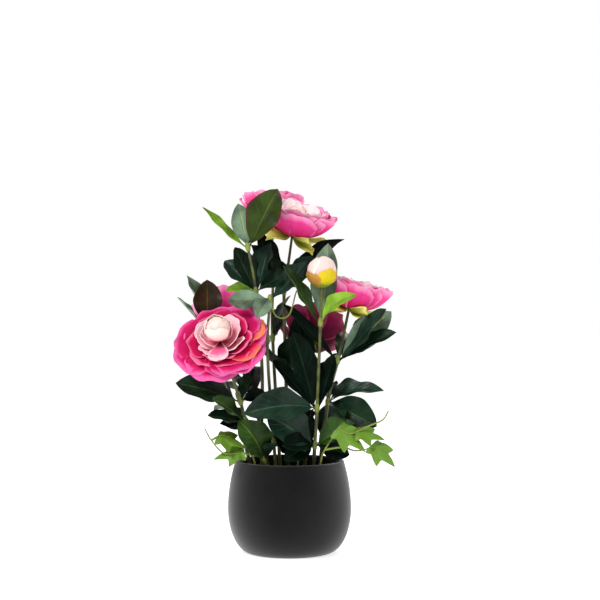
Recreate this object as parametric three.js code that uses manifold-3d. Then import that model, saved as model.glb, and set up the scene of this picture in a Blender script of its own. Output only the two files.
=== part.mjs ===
// A potted camellia of the artificial kind: wired stems with whorls of broad leaves, six open
// blooms, one bud and a few lobed sprigs, standing in a smooth black pot.
// Millimetres, +Z up. The origin is the centre of the pot's underside. The front faces -Y.
// Directions are given as turn (degrees round Z, 0 = +X, 90 = +Y) and rise (degrees above level).
import * as THREE from 'three';
import { mergeVertices } from 'three/addons/utils/BufferGeometryUtils.js';
import Module from 'manifold-3d';

const wasm = await Module();
wasm.setup();

// Driving dimensions of the pot.
const FOOT_RADIUS = 42;
const BELLY_RADIUS = 66.5;
const BELLY_HEIGHT = 48;
const RIM_RADIUS = 58.4;
const POT_HEIGHT = 99;
const POT_WALL = 5;
const POT_FLOOR = 7;
const POT_HEEL = 3;
const SHOULDER_POWER = 1.9;
const POT_SIDES = 28;
const LOWER_STEPS = 6;
const UPPER_STEPS = 4;
const INNER_STEPS = 4;
const LIP_STEPS = 4;

// Driving dimensions of the filling and of the clearance between pieces.
const FILLING_TOP = 85;
const FILLING_DOME = 3;
const DOME_SHOULDER = 0.7;
const DOME_CROWN = 0.35;
const CLEARANCE = 0.4;

// Driving dimensions of stems, collars and leaves.
const STEM_SIDES = 6;
const STEM_STEPS = 8;
const COLLAR_RADIUS = 4.1;
const COLLAR_NECK = 3.1;
const COLLAR_HALF = 4.5;
const COLLAR_SHARE = 0.8;
const LEAF_STEPS = 4;
const LEAF_ROOT = 2.9;
const LEAF_THICKNESS = 1.3;
const LEAF_EDGE = 0.35;
const LEAF_TIP_HALF = 0.25;
const LEAF_FOLD = 16;
const PETIOLE_WIDTH = 2.6;
const PETIOLE_SHARE = 0.1;
const BELLY_POWER = 1.12;
const FULLNESS = 0.72;

// Driving dimensions of the blooms.
const PETAL_THICKNESS = 1.4;
const ROUND_STEPS = 4;
const ALONG_STEPS = 3;
const CORE_SIDES = 7;
const SLOPE_PARTS = 8;
const LOBE_POWER = 0.7;
const BUD_SIDES = 12;

const DEGREE = Math.PI / 180;
const UP = new THREE.Vector3(0, 0, 1);

// Each stem runs through its points; the first is its foot in the filling.
const STEMS = {
  stem_bud: { radii: [2.2, 1.4], points: [[24, -22, 62], [27, -28, 118], [29.3, -30, 157.3],
    [32.9, -38, 248.5], [33.9, -40, 286]] },
  stem_right: { radii: [2.3, 1.5], points: [[29, -3, 62], [41.4, -8, 163.2], [52, -12, 207.4],
    [65, 8, 264]] },
  stem_top: { radii: [2.4, 1.3], points: [[-1, 9, 62], [-3, 10, 125], [-3.9, 8, 189.2],
    [-6, 6, 281.5], [-1.1, 9, 313], [3, 15, 344]] },
  stem_left: { radii: [2.2, 1.4], points: [[-29, -6, 62], [-30, -8, 130], [-29.3, -15, 197],
    [-35.5, -28, 281.3], [-43.8, -38, 328]] },
  stem_middle: { radii: [2.0, 1.4], points: [[-12, -16, 62], [-16.5, -24, 120], [-23, -34, 216],
    [-20.3, -40, 273]] },
  stem_front: { radii: [2.2, 1.5], points: [[-20, -24, 62], [-27, -32, 103], [-45.5, -41, 145],
    [-51.6, -45, 166], [-70, -44, 223.5]] },
  stem_shade: { radii: [2.1, 1.5], points: [[-18, 8, 62], [-40, 22, 165], [-69, 26, 246]] },
  stem_side: { radii: [2.1, 1.5], points: [[-34, 4, 62], [-62, -2, 165], [-91, -6, 244]] },
  stem_back: { radii: [2.1, 1.5], points: [[15, 20, 62], [22, 16, 185], [26, 24, 227]] },
  stem_peak: { radii: [2.0, 1.3], points: [[-9, 26, 62], [-19, 40, 230], [-19, 52, 290],
    [-20, 69, 363]] },
};

// Each whorl sits on one point of a stem. A leaf is
// [turn, rise, length, width, arch as a share of length, roll about its own axis].
const WHORLS = {
  leaves_left_high: { stem: 'stem_left', point: 4, leaves: [
    [352, 64, 70, 43, 0.03, 85], [160, 77, 50, 27, 0, 110], [199, 43, 62, 15, -0.05, -50],
    [80, 38, 48, 20, 0.08, 0]] },
  leaves_left_low: { stem: 'stem_left', point: 3, leaves: [
    [34, 74, 54, 29, 0, 10], [160, 65, 52, 20, 0, -45], [150, 42, 50, 20, 0, -30],
    [196, 2, 30, 17, 0.06, -50]] },
  leaves_middle: { stem: 'stem_middle', point: 3, tendril: true, leaves: [
    [193, -5, 47, 32, -0.1, 80], [22, 44, 57, 24, 0, 55], [222, -44, 30, 24, 0.05, -30]] },
  leaves_middle_foot: { stem: 'stem_middle', point: 1, leaves: [
    [12, 18, 38, 28, 0.04, 50], [345, -32, 28, 24, 0.06, 40]] },
  leaves_top_high: { stem: 'stem_top', point: 3, leaves: [
    [349, 50, 48, 24, 0, 60], [4, 44, 85, 24, 0.12, 50], [104, 60, 50, 20, 0, 0],
    [180, 69, 70, 22, 0, -40], [196, 57, 60, 32, 0, -60], [68, 2, 50, 22, 0.08, 0]] },
  leaves_top_low: { stem: 'stem_top', point: 2, leaves: [
    [239, 39, 42, 20, 0, -20], [285, 60, 50, 20, 0, 0], [150, 35, 60, 24, 0.08, 0]] },
  leaves_top_foot: { stem: 'stem_top', point: 1, leaves: [
    [232, 30, 34, 24, 0, -60], [325, 38, 44, 24, 0, 60], [276, -36, 34, 26, 0.08, 0],
    [340, -20, 30, 24, 0.05, 60], [72, 20, 58, 26, 0.1, 0]] },
  leaves_left_foot: { stem: 'stem_left', point: 1, leaves: [
    [202, 14, 46, 22, 0.05, -40], [266, 10, 24, 18, 0.06, 0], [340, -34, 23, 16, 0.06, 70]] },
  leaves_bud_high: { stem: 'stem_bud', point: 3, leaves: [
    [197, 56, 71, 20, 0, -50], [326, 38, 50, 20, 0.16, 60], [72, 74, 88, 33, -0.06, 0]] },
  leaves_bud_low: { stem: 'stem_bud', point: 2, leaves: [
    [203, -2, 80, 39, 0.14, -60], [190, 75, 84, 34, 0, -70], [10, 74, 58, 24, 0, 40],
    [176, 50, 68, 20, 0, -50]] },
  leaves_bud_foot: { stem: 'stem_bud', point: 1, leaves: [
    [203, 34, 60, 38, 0.04, -70], [352, 31, 46, 32, 0.08, 60], [222, 2, 44, 26, 0.05, -50],
    [212, -20, 38, 26, 0.06, -50], [352, -16, 36, 22, 0.05, 80]] },
  leaves_right_high: { stem: 'stem_right', point: 2, leaves: [
    [335, 48, 76, 34, -0.03, 58], [356, 44, 78, 36, 0.03, 75], [338, 28, 70, 20, 0.03, 30],
    [186, 47, 82, 16, 0, -10], [70, 30, 60, 24, 0.1, 0]] },
  leaves_right_low: { stem: 'stem_right', point: 1, leaves: [
    [346, 11, 60, 20, 0.14, 35], [331, -24, 60, 42, 0.02, 80], [300, -26, 34, 18, 0.05, 0],
    [40, 15, 62, 24, 0.12, 0], [88, 12, 60, 24, 0.1, 0], [100, -72, 46, 26, 0.04, 0]] },
  leaves_front_high: { stem: 'stem_front', point: 3, leaves: [
    [189, 18, 68, 30, 0.05, -60], [39, 72, 30, 18, 0, 0], [65, 45, 46, 20, 0.05, 0],
    [20, 12, 28, 20, 0.05, 60]] },
  leaves_front_low: { stem: 'stem_front', point: 2, leaves: [
    [221, 33, 50, 22, 0.03, -50], [200, 12, 40, 20, 0, -45], [130, 10, 55, 22, 0.1, 0]] },
  leaves_front_foot: { stem: 'stem_front', point: 1, leaves: [
    [219, 56, 53, 40, 0.12, -80], [300, 40, 30, 16, 0.1, 0]] },
  leaves_side: { stem: 'stem_side', point: 2, leaves: [
    [275, 84, 49, 34, 0, 180], [165, 71, 58, 29, 0, -10], [175, 50, 42, 13, 0, 0],
    [120, -25, 48, 20, 0.1, 0], [92, -30, 50, 22, 0.1, 0]] },
  leaves_shade: { stem: 'stem_shade', point: 1, leaves: [
    [150, 30, 62, 26, 0.1, 0], [95, 30, 64, 26, 0.1, 0], [200, 15, 55, 22, 0.1, 0],
    [105, -10, 55, 24, 0.1, 0]] },
  leaves_back: { stem: 'stem_back', point: 1, leaves: [
    [232, 74, 72, 30, 0, -141], [15, 35, 54, 22, 0.08, 0], [72, 2, 64, 26, 0.12, 0],
    [110, 5, 64, 26, 0.12, 0], [82, -25, 56, 24, 0.1, 0]] },
  leaves_peak: { stem: 'stem_peak', point: 2, leaves: [
    [60, 48, 62, 26, 0.06, 0], [110, 30, 62, 26, 0.1, 0], [160, 45, 58, 24, 0.05, 0],
    [20, 25, 56, 22, 0.1, 0]] },
  leaves_peak_low: { stem: 'stem_peak', point: 1, leaves: [
    [65, 32, 62, 26, 0.1, 0], [98, -8, 58, 24, 0.1, 0], [340, 72, 50, 22, 0.04, 0]] },
};

// A ring of petals: how many, where the first one points, length, height of its foot, slope at
// foot and rim, and how deep the notches between petals cut its rim.
const OPEN_RINGS = [
  { count: 6, start: 20, length: 53, base: 2, from: 18, to: -6, notch: 0.1 },
  { count: 5, start: 14, length: 41, base: 4, from: 2, to: 32, notch: 0.12 },
  { count: 4, start: 20, length: 34, base: 6, from: 2, to: 66, notch: 0.14 },
];
const BOWL_RINGS = [
  { count: 5, start: 15, length: 54, base: 1, from: -8, to: 72, notch: 0.12 },
  { count: 4, start: 33, length: 43, base: 4, from: 2, to: 84, notch: 0.14 },
];
const SEPAL_RING = { count: 4, start: 10, length: 37, base: -2, from: -20, to: 26, notch: 0.5 };
// Profile of the closed heart as radius and height; an open bloom's heart stands higher.
const HEART = [[0, -4], [5, -3], [7, 9], [13, 21], [9.5, 30], [0, 33]];
const OPEN_HEART_RISE = 1.27;

// Each bloom grows from the tip of its stem along its own axis; size scales its rings.
const BLOOMS = {
  bloom_front: { stem: 'stem_front', axis: [-0.16, -0.73, 0.66], size: 1, rings: OPEN_RINGS,
    rise: OPEN_HEART_RISE },
  bloom_top: { stem: 'stem_top', axis: [0.16, -0.22, 0.95], size: 1, rings: BOWL_RINGS },
  bloom_right: { stem: 'stem_right', axis: [0.18, 0.02, 0.98], size: 0.91, rings: BOWL_RINGS },
  bloom_shade: { stem: 'stem_shade', axis: [-0.2, 0.62, 0.75], size: 0.8, rings: BOWL_RINGS },
  bloom_back: { stem: 'stem_back', axis: [0.1, 0.78, 0.62], size: 0.8, rings: BOWL_RINGS },
  bloom_peak: { stem: 'stem_peak', axis: [-0.2, 0.2, 0.95], size: 0.81, rings: BOWL_RINGS },
};

const BUD = [[0, -6], [2.6, -5], [3.2, 0], [6, 3], [12, 8], [16.5, 15], [17, 20], [15, 27], [9, 32],
  [0, 33.5]];

// A thin hooked runner hangs from the middle stem's whorl.
const TENDRIL = { radii: [0.9, 0.7], points: [[-18, -40, 270], [-18, -40, 263], [-14, -38, 255],
  [-6.6, -36, 252.5], [-0.3, -33, 256], [3, -30, 264], [6, -28, 276], [8, -28, 282]] };
const TENDRIL_STEPS = 12;
const TENDRIL_SIDES = 5;

// Sprigs: thin stalks, the first one rooted in the filling, with lobed leaves
// [x, y, z, turn, rise, size, roll].
const SPRIGS = {
  sprig_right: {
    stalks: [
      [[31, -28, 62], [33.5, -35, 102], [41, -41, 120], [54, -46, 136]],
      [[38, -39, 114], [56, -44, 117], [71, -46, 113.5], [90, -46, 118]],
      [[53, -46, 136], [66, -47, 132], [84, -47, 140], [98, -46, 146], [104, -45, 155]],
    ],
    leaves: [[52, -46, 136, 336, -30, 32, 42], [88, -46, 119, 335, -34, 28, 40],
      [72, -47, 133, 350, -6, 26, 38]],
  },
  sprig_left: {
    stalks: [
      [[-34, -26, 62], [-37, -29, 101], [-44, -34, 109], [-56, -39, 110], [-70, -40, 111],
        [-82, -40, 124], [-89, -39, 136]],
      [[-82, -40, 124], [-72, -39, 129], [-62, -38, 127]],
    ],
    leaves: [[-49, -36, 112, 190, -6, 28, -42], [-74, -39, 128, 350, -14, 27, 38]],
  },
  sprig_back: {
    stalks: [
      [[8, 36, 62], [10, 43, 100], [20, 56, 112], [38, 68, 110]],
      [[12, 47, 106], [-6, 60, 114], [-24, 70, 108]],
    ],
    leaves: [[18, 54, 111, 40, 0, 36, 0], [-4, 58, 114, 130, -4, 34, 0]],
  },
};
const STALK_RADIUS = 1.3;
const STALK_STEPS = 5;
const STALK_SIDES = 4;
const STALK_TAPER = 0.7;
const SOCKET_GAP = 0.48;
const SPRIG_THICKNESS = 1.1;
const SPRIG_DROOP = 0.25;
const SPRIG_SINK = 0.12;
// Lobes of a sprig's leaf, as angle from its midline and reach as a share of its size.
const LOBES = [[-150, 0.2], [-114, 0.42], [-84, 0.36], [-46, 0.72], [-24, 0.52], [0, 1],
  [24, 0.52], [46, 0.72], [84, 0.36], [114, 0.42], [150, 0.2]];

const COLOURS = {
  pot: ['#1b1b1d', 0.6],
  filling: ['#1d1712', 0.95],
  stem: ['#6f7a3a', 0.6],
  leaves: ['#1f3a26', 0.5],
  bloom: ['#e0408c', 0.7],
  bud: ['#f1d9cf', 0.7],
  sprig: ['#86a63c', 0.55],
};

const group = new THREE.Group();
const taken = [];

// Geometry to solid and back.
function solid(geometry) {
  const bare = geometry.clone();
  bare.deleteAttribute('normal');
  bare.deleteAttribute('uv');
  const merged = mergeVertices(bare, 1e-4);
  const mesh = new wasm.Mesh({
    numProp: 3,
    vertProperties: new Float32Array(merged.attributes.position.array),
    triVerts: new Uint32Array(merged.index.array),
  });
  const made = new wasm.Manifold(mesh);
  if (made.volume() <= 0) throw new Error('a solid is inside out');
  return made;
}

function join(solids) {
  return wasm.Manifold.union(solids);
}

// The one main body: loose scraps and sealed hollows are left out.
function mainBody(made) {
  const parts = made.decompose();
  parts.sort((a, b) => b.volume() - a.volume());
  return parts[0];
}

function add(name, made, look) {
  const body = mainBody(made);
  const mesh = body.getMesh();
  const geometry = new THREE.BufferGeometry();
  const count = mesh.vertProperties.length / mesh.numProp;
  const position = new THREE.BufferAttribute(new Float32Array(count * 3), 3);
  for (let i = 0; i < count; i += 1) {
    const at = i * mesh.numProp;
    position.setXYZ(i, mesh.vertProperties[at], mesh.vertProperties[at + 1], mesh.vertProperties[at + 2]);
  }
  geometry.setAttribute('position', position);
  geometry.setIndex(new THREE.BufferAttribute(new Uint32Array(mesh.triVerts), 1));
  geometry.computeVertexNormals();
  const [color, roughness] = COLOURS[look];
  const material = new THREE.MeshStandardMaterial({ color, roughness, metalness: 0 });
  const piece = new THREE.Mesh(geometry, material);
  piece.name = name;
  group.add(piece);
  taken.push({ name, body });
  return body;
}

// Moves every vertex of a unit cylinder: place(across, along 0..1, through) gives its new point.
function mould(sides, steps, start, place) {
  const geometry = new THREE.CylinderGeometry(1, 1, 1, sides, steps, false, start);
  const position = geometry.attributes.position;
  for (let i = 0; i < position.count; i += 1) {
    const point = place(position.getX(i), position.getY(i) + 0.5, position.getZ(i));
    position.setXYZ(i, point.x, point.y, point.z);
  }
  return solid(geometry);
}

function direction(turn, rise) {
  const level = Math.cos(rise * DEGREE);
  return new THREE.Vector3(
    level * Math.cos(turn * DEGREE), level * Math.sin(turn * DEGREE), Math.sin(rise * DEGREE));
}

function combine(origin, ...pairs) {
  const point = origin.clone();
  for (const [vector, amount] of pairs) point.addScaledVector(vector, amount);
  return point;
}

function curveOf(points) {
  const vectors = points.map((p) => new THREE.Vector3(...p));
  return new THREE.CatmullRomCurve3(vectors, false, 'catmullrom', 0.5);
}

// A tapering limb along a curve. Grow makes it fatter and longer all round.
function limb(curve, radii, grow, steps = STEM_STEPS, sides = STEM_SIDES) {
  return mould(sides, steps, 0, (x, along, z) => {
    const tangent = curve.getTangent(along);
    const across = new THREE.Vector3(1, 0, 0).addScaledVector(tangent, -tangent.x).normalize();
    const other = across.clone().cross(tangent);
    const radius = radii[0] + (radii[1] - radii[0]) * along + grow;
    let beyond = 0;
    if (along === 0) beyond = -grow;
    if (along === 1) beyond = grow;
    return combine(curve.getPoint(along), [across, x * radius], [other, z * radius], [tangent, beyond]);
  });
}

// Half the width of a leaf as a share of its widest half, at a share of its length.
function leafShare(along) {
  const blade = Math.max(0, (along - PETIOLE_SHARE) / (1 - PETIOLE_SHARE));
  return Math.sin(Math.PI * blade ** BELLY_POWER) ** FULLNESS;
}

function leaf(base, [turn, rise, length, width, arch, roll]) {
  const ahead = direction(turn, rise);
  const plainFace = UP.clone().addScaledVector(ahead, -ahead.z).normalize();
  const face = plainFace.clone().applyAxisAngle(ahead, roll * DEGREE);
  const side = ahead.clone().cross(face);
  const fold = LEAF_FOLD * DEGREE;
  return mould(4, LEAF_STEPS, 0, (across, along, through) => {
    const half = Math.max(PETIOLE_WIDTH / 2 * (1 - along), width / 2 * leafShare(along), LEAF_TIP_HALF);
    const thick = LEAF_THICKNESS / 2 * (1 - along) + LEAF_EDGE;
    const bow = arch * length * 4 * along * (1 - along);
    return combine(base,
      [ahead, along * length],
      [side, across * half * Math.cos(fold)],
      [face, bow + Math.abs(across) * half * Math.sin(fold) + through * thick]);
  });
}

// Where a leaf is rooted: inside the collar, clear of the stem.
function rootOf(centre, axis, [turn, rise]) {
  const outward = direction(turn, rise);
  outward.addScaledVector(axis, -outward.dot(axis)).normalize();
  return combine(centre, [outward, LEAF_ROOT]);
}

// A closed turned shape standing on a point, its axis along a direction.
function turned(profile, sides, foot, axis) {
  const geometry = new THREE.LatheGeometry(profile.map(([r, z]) => new THREE.Vector2(r, z)), sides);
  const lean = new THREE.Quaternion().setFromUnitVectors(new THREE.Vector3(0, 1, 0), axis);
  geometry.applyQuaternion(lean);
  geometry.translate(foot.x, foot.y, foot.z);
  return solid(geometry);
}

// Pot: a rounded bowl shape, widest below its middle, closing gently to a plain rim.
function potRadius(height) {
  if (height < BELLY_HEIGHT) {
    const share = 1 - height / BELLY_HEIGHT;
    return FOOT_RADIUS + (BELLY_RADIUS - FOOT_RADIUS) * Math.sqrt(1 - share * share);
  }
  const share = (height - BELLY_HEIGHT) / (POT_HEIGHT - BELLY_HEIGHT);
  return BELLY_RADIUS - (BELLY_RADIUS - RIM_RADIUS) * share ** SHOULDER_POWER;
}

function potProfile() {
  const profile = [[0, 0]];
  for (let i = 0; i <= LOWER_STEPS; i += 1) {
    const height = BELLY_HEIGHT * (1 - Math.cos(i / LOWER_STEPS * Math.PI / 2));
    profile.push([potRadius(height), height]);
  }
  const lip = POT_WALL / 2;
  for (let i = 1; i <= UPPER_STEPS; i += 1) {
    const height = BELLY_HEIGHT + (POT_HEIGHT - lip - BELLY_HEIGHT) * i / UPPER_STEPS;
    profile.push([potRadius(height), height]);
  }
  for (let i = 1; i < LIP_STEPS; i += 1) {
    const angle = Math.PI * i / LIP_STEPS;
    const middle = potRadius(POT_HEIGHT - lip) - lip;
    profile.push([middle + lip * Math.cos(angle), POT_HEIGHT - lip + lip * Math.sin(angle)]);
  }
  profile.push([potRadius(POT_HEIGHT - lip) - POT_WALL, POT_HEIGHT - lip], ...innerProfile(0));
  return profile;
}

// The inner wall below the filling's top, down to the floor, drawn in by a gap.
function innerProfile(gap) {
  const profile = [];
  for (let i = 0; i <= INNER_STEPS; i += 1) {
    const height = FILLING_TOP + (POT_FLOOR - FILLING_TOP) * i / INNER_STEPS;
    const thicker = Math.max(0, 1 - height / BELLY_HEIGHT) * POT_HEEL;
    const lift = i === INNER_STEPS ? gap : 0;
    profile.push([potRadius(height) - POT_WALL - thicker - gap, height + lift]);
  }
  profile.push([0, POT_FLOOR + gap]);
  return profile;
}

function fillingProfile() {
  const wall = innerProfile(CLEARANCE).reverse();
  const edge = wall[wall.length - 1][0];
  return [...wall,
    [edge * DOME_SHOULDER, FILLING_TOP + FILLING_DOME / 2],
    [edge * DOME_CROWN, FILLING_TOP + FILLING_DOME],
    [0, FILLING_TOP + FILLING_DOME]];
}

// One ring of petals as a shell with a scalloped rim, worked out round an axis. Its radius and
// height follow a turning slope from the foot to the rim.
function petals(foot, frame, ring, size) {
  const { right, depth, axis } = frame;
  const slope = (along) => (ring.from + (ring.to - ring.from) * along) * DEGREE;
  const reach = (along) => {
    let radius = 0;
    let height = ring.base;
    for (let i = 0; i < SLOPE_PARTS; i += 1) {
      const angle = slope(along * (i + 0.5) / SLOPE_PARTS);
      radius += Math.cos(angle) * ring.length * along / SLOPE_PARTS;
      height += Math.sin(angle) * ring.length * along / SLOPE_PARTS;
    }
    return [radius, height];
  };
  const geometry = new THREE.SphereGeometry(1, ring.count * ROUND_STEPS, ALONG_STEPS * 2);
  const position = geometry.attributes.position;
  for (let i = 0; i < position.count; i += 1) {
    const level = position.getY(i);
    const round = Math.atan2(-position.getZ(i), position.getX(i));
    const share = Math.acos(Math.min(1, Math.abs(level))) / (Math.PI / 2);
    const lobe = Math.abs(Math.cos(ring.count * round / 2)) ** LOBE_POWER;
    const turn = round + ring.start * DEGREE;
    const [radius, height] = reach(share * (1 - ring.notch * (1 - lobe) * share));
    const tilt = slope(share);
    const thick = Math.sign(level) * PETAL_THICKNESS / 2 * (share > 0.99 ? 0 : 1);
    const out = (radius - Math.sin(tilt) * thick * Math.min(1, share * 3)) * size;
    const up = (height + Math.cos(tilt) * thick) * size;
    const point = combine(foot, [right, out * Math.cos(turn)], [depth, out * Math.sin(turn)], [axis, up]);
    position.setXYZ(i, point.x, point.y, point.z);
  }
  return solid(geometry);
}

function frameOf(axisValues) {
  const axis = new THREE.Vector3(...axisValues).normalize();
  const right = new THREE.Vector3(1, 0, 0).addScaledVector(axis, -axis.x).normalize();
  const depth = axis.clone().cross(right);
  return { right, depth, axis };
}

function bloom(row, curve) {
  const foot = curve.getPoint(1);
  const frame = frameOf(row.axis);
  const rise = row.size * (row.rise ?? 1);
  const heart = HEART.map(([radius, height]) => [radius * row.size, height * rise]);
  const solids = [turned(heart, CORE_SIDES, foot, frame.axis)];
  for (const ring of [SEPAL_RING, ...row.rings]) solids.push(petals(foot, frame, ring, row.size));
  return join(solids);
}

function lobedLeaf([x, y, z, turn, rise, size, roll]) {
  const outline = LOBES.map(([angle, reach]) => new THREE.Vector2(
    size * (reach * Math.cos(angle * DEGREE) + SPRIG_SINK), size * reach * Math.sin(angle * DEGREE)));
  const geometry = new THREE.ExtrudeGeometry(new THREE.Shape(outline), {
    depth: SPRIG_THICKNESS, bevelEnabled: false, steps: 1, curveSegments: 1,
  });
  const ahead = direction(turn, rise);
  const level = UP.clone().addScaledVector(ahead, -ahead.z).normalize();
  const face = level.applyAxisAngle(ahead, roll * DEGREE);
  const left = face.clone().cross(ahead);
  const base = new THREE.Vector3(x, y, z);
  const position = geometry.attributes.position;
  for (let i = 0; i < position.count; i += 1) {
    const long = position.getX(i);
    const wide = position.getY(i);
    const droop = -SPRIG_DROOP * (long * long + wide * wide) / size;
    const through = position.getZ(i) - SPRIG_THICKNESS / 2 + droop;
    const point = combine(base, [ahead, long], [left, wide], [face, through]);
    position.setXYZ(i, point.x, point.y, point.z);
  }
  return solid(geometry);
}

function sprig(row) {
  const stalks = row.stalks.map((points, i) => limb(curveOf(points),
    [STALK_RADIUS, STALK_RADIUS * STALK_TAPER], 0, i === 0 ? STALK_STEPS + 2 : STALK_STEPS, STALK_SIDES));
  return join([...stalks, ...row.leaves.map(lobedLeaf)]);
}

// Stems, each with a fatter twin that cuts the clearance for whatever it passes through.
const curves = {};
const sleeves = {};
for (const [name, stem] of Object.entries(STEMS)) {
  curves[name] = curveOf(stem.points);
  sleeves[name] = limb(curves[name], stem.radii, CLEARANCE);
}

const potBody = turned(potProfile(), POT_SIDES, new THREE.Vector3(), UP);
add('pot', potBody, 'pot');
const filling = turned(fillingProfile(), POT_SIDES, new THREE.Vector3(), UP);
const sockets = Object.values(SPRIGS).map((row) => limb(curveOf(row.stalks[0]),
  [STALK_RADIUS, STALK_RADIUS * STALK_TAPER], SOCKET_GAP, STALK_STEPS + 2, STALK_SIDES));
add('filling', filling.subtract(join([...Object.values(sleeves), ...sockets])), 'filling');
for (const [name, stem] of Object.entries(STEMS)) {
  add(name, limb(curves[name], stem.radii, 0), 'stem');
}

for (const [name, row] of Object.entries(WHORLS)) {
  const curve = curves[row.stem];
  const along = row.point / (STEMS[row.stem].points.length - 1);
  const centre = curve.getPoint(along);
  const axis = curve.getTangent(along);
  const collar = turned([[0, -COLLAR_HALF], [COLLAR_NECK, -COLLAR_HALF * COLLAR_SHARE], [COLLAR_RADIUS, 0],
    [COLLAR_NECK, COLLAR_HALF * COLLAR_SHARE], [0, COLLAR_HALF]], STEM_SIDES, centre, axis);
  const solids = [collar, ...row.leaves.map((entry) => leaf(rootOf(centre, axis, entry), entry))];
  if (row.tendril) {
    const runner = curveOf(TENDRIL.points);
    solids.push(limb(runner, TENDRIL.radii, 0, TENDRIL_STEPS, TENDRIL_SIDES));
  }
  add(name, join(solids).subtract(sleeves[row.stem]), 'leaves');
}

for (const [name, row] of Object.entries(BLOOMS)) {
  add(name, bloom(row, curves[row.stem]).subtract(sleeves[row.stem]), 'bloom');
}

const budFoot = curves.stem_bud.getPoint(1);
add('bud', turned(BUD, BUD_SIDES, budFoot, UP).subtract(sleeves.stem_bud), 'bud');

for (const [name, row] of Object.entries(SPRIGS)) {
  add(name, sprig(row), 'sprig');
}

export default group;
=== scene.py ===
"""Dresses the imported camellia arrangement: leaves, petals, stems, sprigs, filling and pot.

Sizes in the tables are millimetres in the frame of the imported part: +Z up, the front faces -Y,
and the origin is the centre of the pot's underside. A direction is given as turn (degrees round
Z, 0 = +X, 90 = +Y) and rise (degrees above level).
"""

import math
import random

import bpy
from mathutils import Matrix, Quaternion, Vector


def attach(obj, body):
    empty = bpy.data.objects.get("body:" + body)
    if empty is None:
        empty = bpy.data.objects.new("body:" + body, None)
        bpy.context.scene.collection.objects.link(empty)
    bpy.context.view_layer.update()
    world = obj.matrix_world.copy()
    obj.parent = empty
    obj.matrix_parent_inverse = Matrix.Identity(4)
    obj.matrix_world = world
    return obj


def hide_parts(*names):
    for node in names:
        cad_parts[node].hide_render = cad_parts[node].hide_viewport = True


bl_info = {
    "name": "Potted camellia",
    "version": (1, 0, 0),
    "blender": (4, 5, 0),
    "location": "View3D > Sidebar > Camellia",
    "description": "Makes the leaves, blooms, stems, sprigs and pot of an artificial camellia",
    "category": "Object",
}

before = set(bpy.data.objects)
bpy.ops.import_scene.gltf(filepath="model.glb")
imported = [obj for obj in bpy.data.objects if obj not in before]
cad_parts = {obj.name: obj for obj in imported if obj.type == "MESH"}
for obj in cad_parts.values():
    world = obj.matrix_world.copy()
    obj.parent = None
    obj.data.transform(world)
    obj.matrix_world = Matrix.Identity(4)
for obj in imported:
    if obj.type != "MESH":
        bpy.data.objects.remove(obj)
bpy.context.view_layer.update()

MM = 0.001
UP = Vector((0, 0, 1))

# Each stem has a radius at its foot and at its tip, and runs through its points; the first
# is its foot in the filling.
STEMS = {
    "stem_bud": ([2.2, 1.4], [(24, -22, 62), (27, -28, 118), (29.3, -30, 157.3),
                              (32.9, -38, 248.5), (33.9, -40, 286)]),
    "stem_right": ([2.3, 1.5], [(29, -3, 62), (41.4, -8, 163.2), (52, -12, 207.4),
                                (65, 8, 264)]),
    "stem_top": ([2.4, 1.3], [(-1, 9, 62), (-3, 10, 125), (-3.9, 8, 189.2), (-6, 6, 281.5),
                              (-1.1, 9, 313), (3, 15, 344)]),
    "stem_left": ([2.2, 1.4], [(-29, -6, 62), (-30, -8, 130), (-29.3, -15, 197),
                               (-35.5, -28, 281.3), (-43.8, -38, 328)]),
    "stem_middle": ([2.0, 1.4], [(-12, -16, 62), (-16.5, -24, 120), (-23, -34, 216),
                                (-20.3, -40, 273)]),
    "stem_front": ([2.2, 1.5], [(-20, -24, 62), (-27, -32, 103), (-45.5, -41, 145),
                                (-51.6, -45, 166), (-70, -44, 223.5)]),
    "stem_shade": ([2.1, 1.5], [(-18, 8, 62), (-40, 22, 165), (-69, 26, 246)]),
    "stem_side": ([2.1, 1.5], [(-34, 4, 62), (-62, -2, 165), (-91, -6, 244)]),
    "stem_back": ([2.1, 1.5], [(15, 20, 62), (22, 16, 185), (26, 24, 227)]),
    "stem_peak": ([2.0, 1.3], [(-9, 26, 62), (-19, 40, 230), (-19, 52, 290), (-20, 69, 363)]),
}

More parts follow.
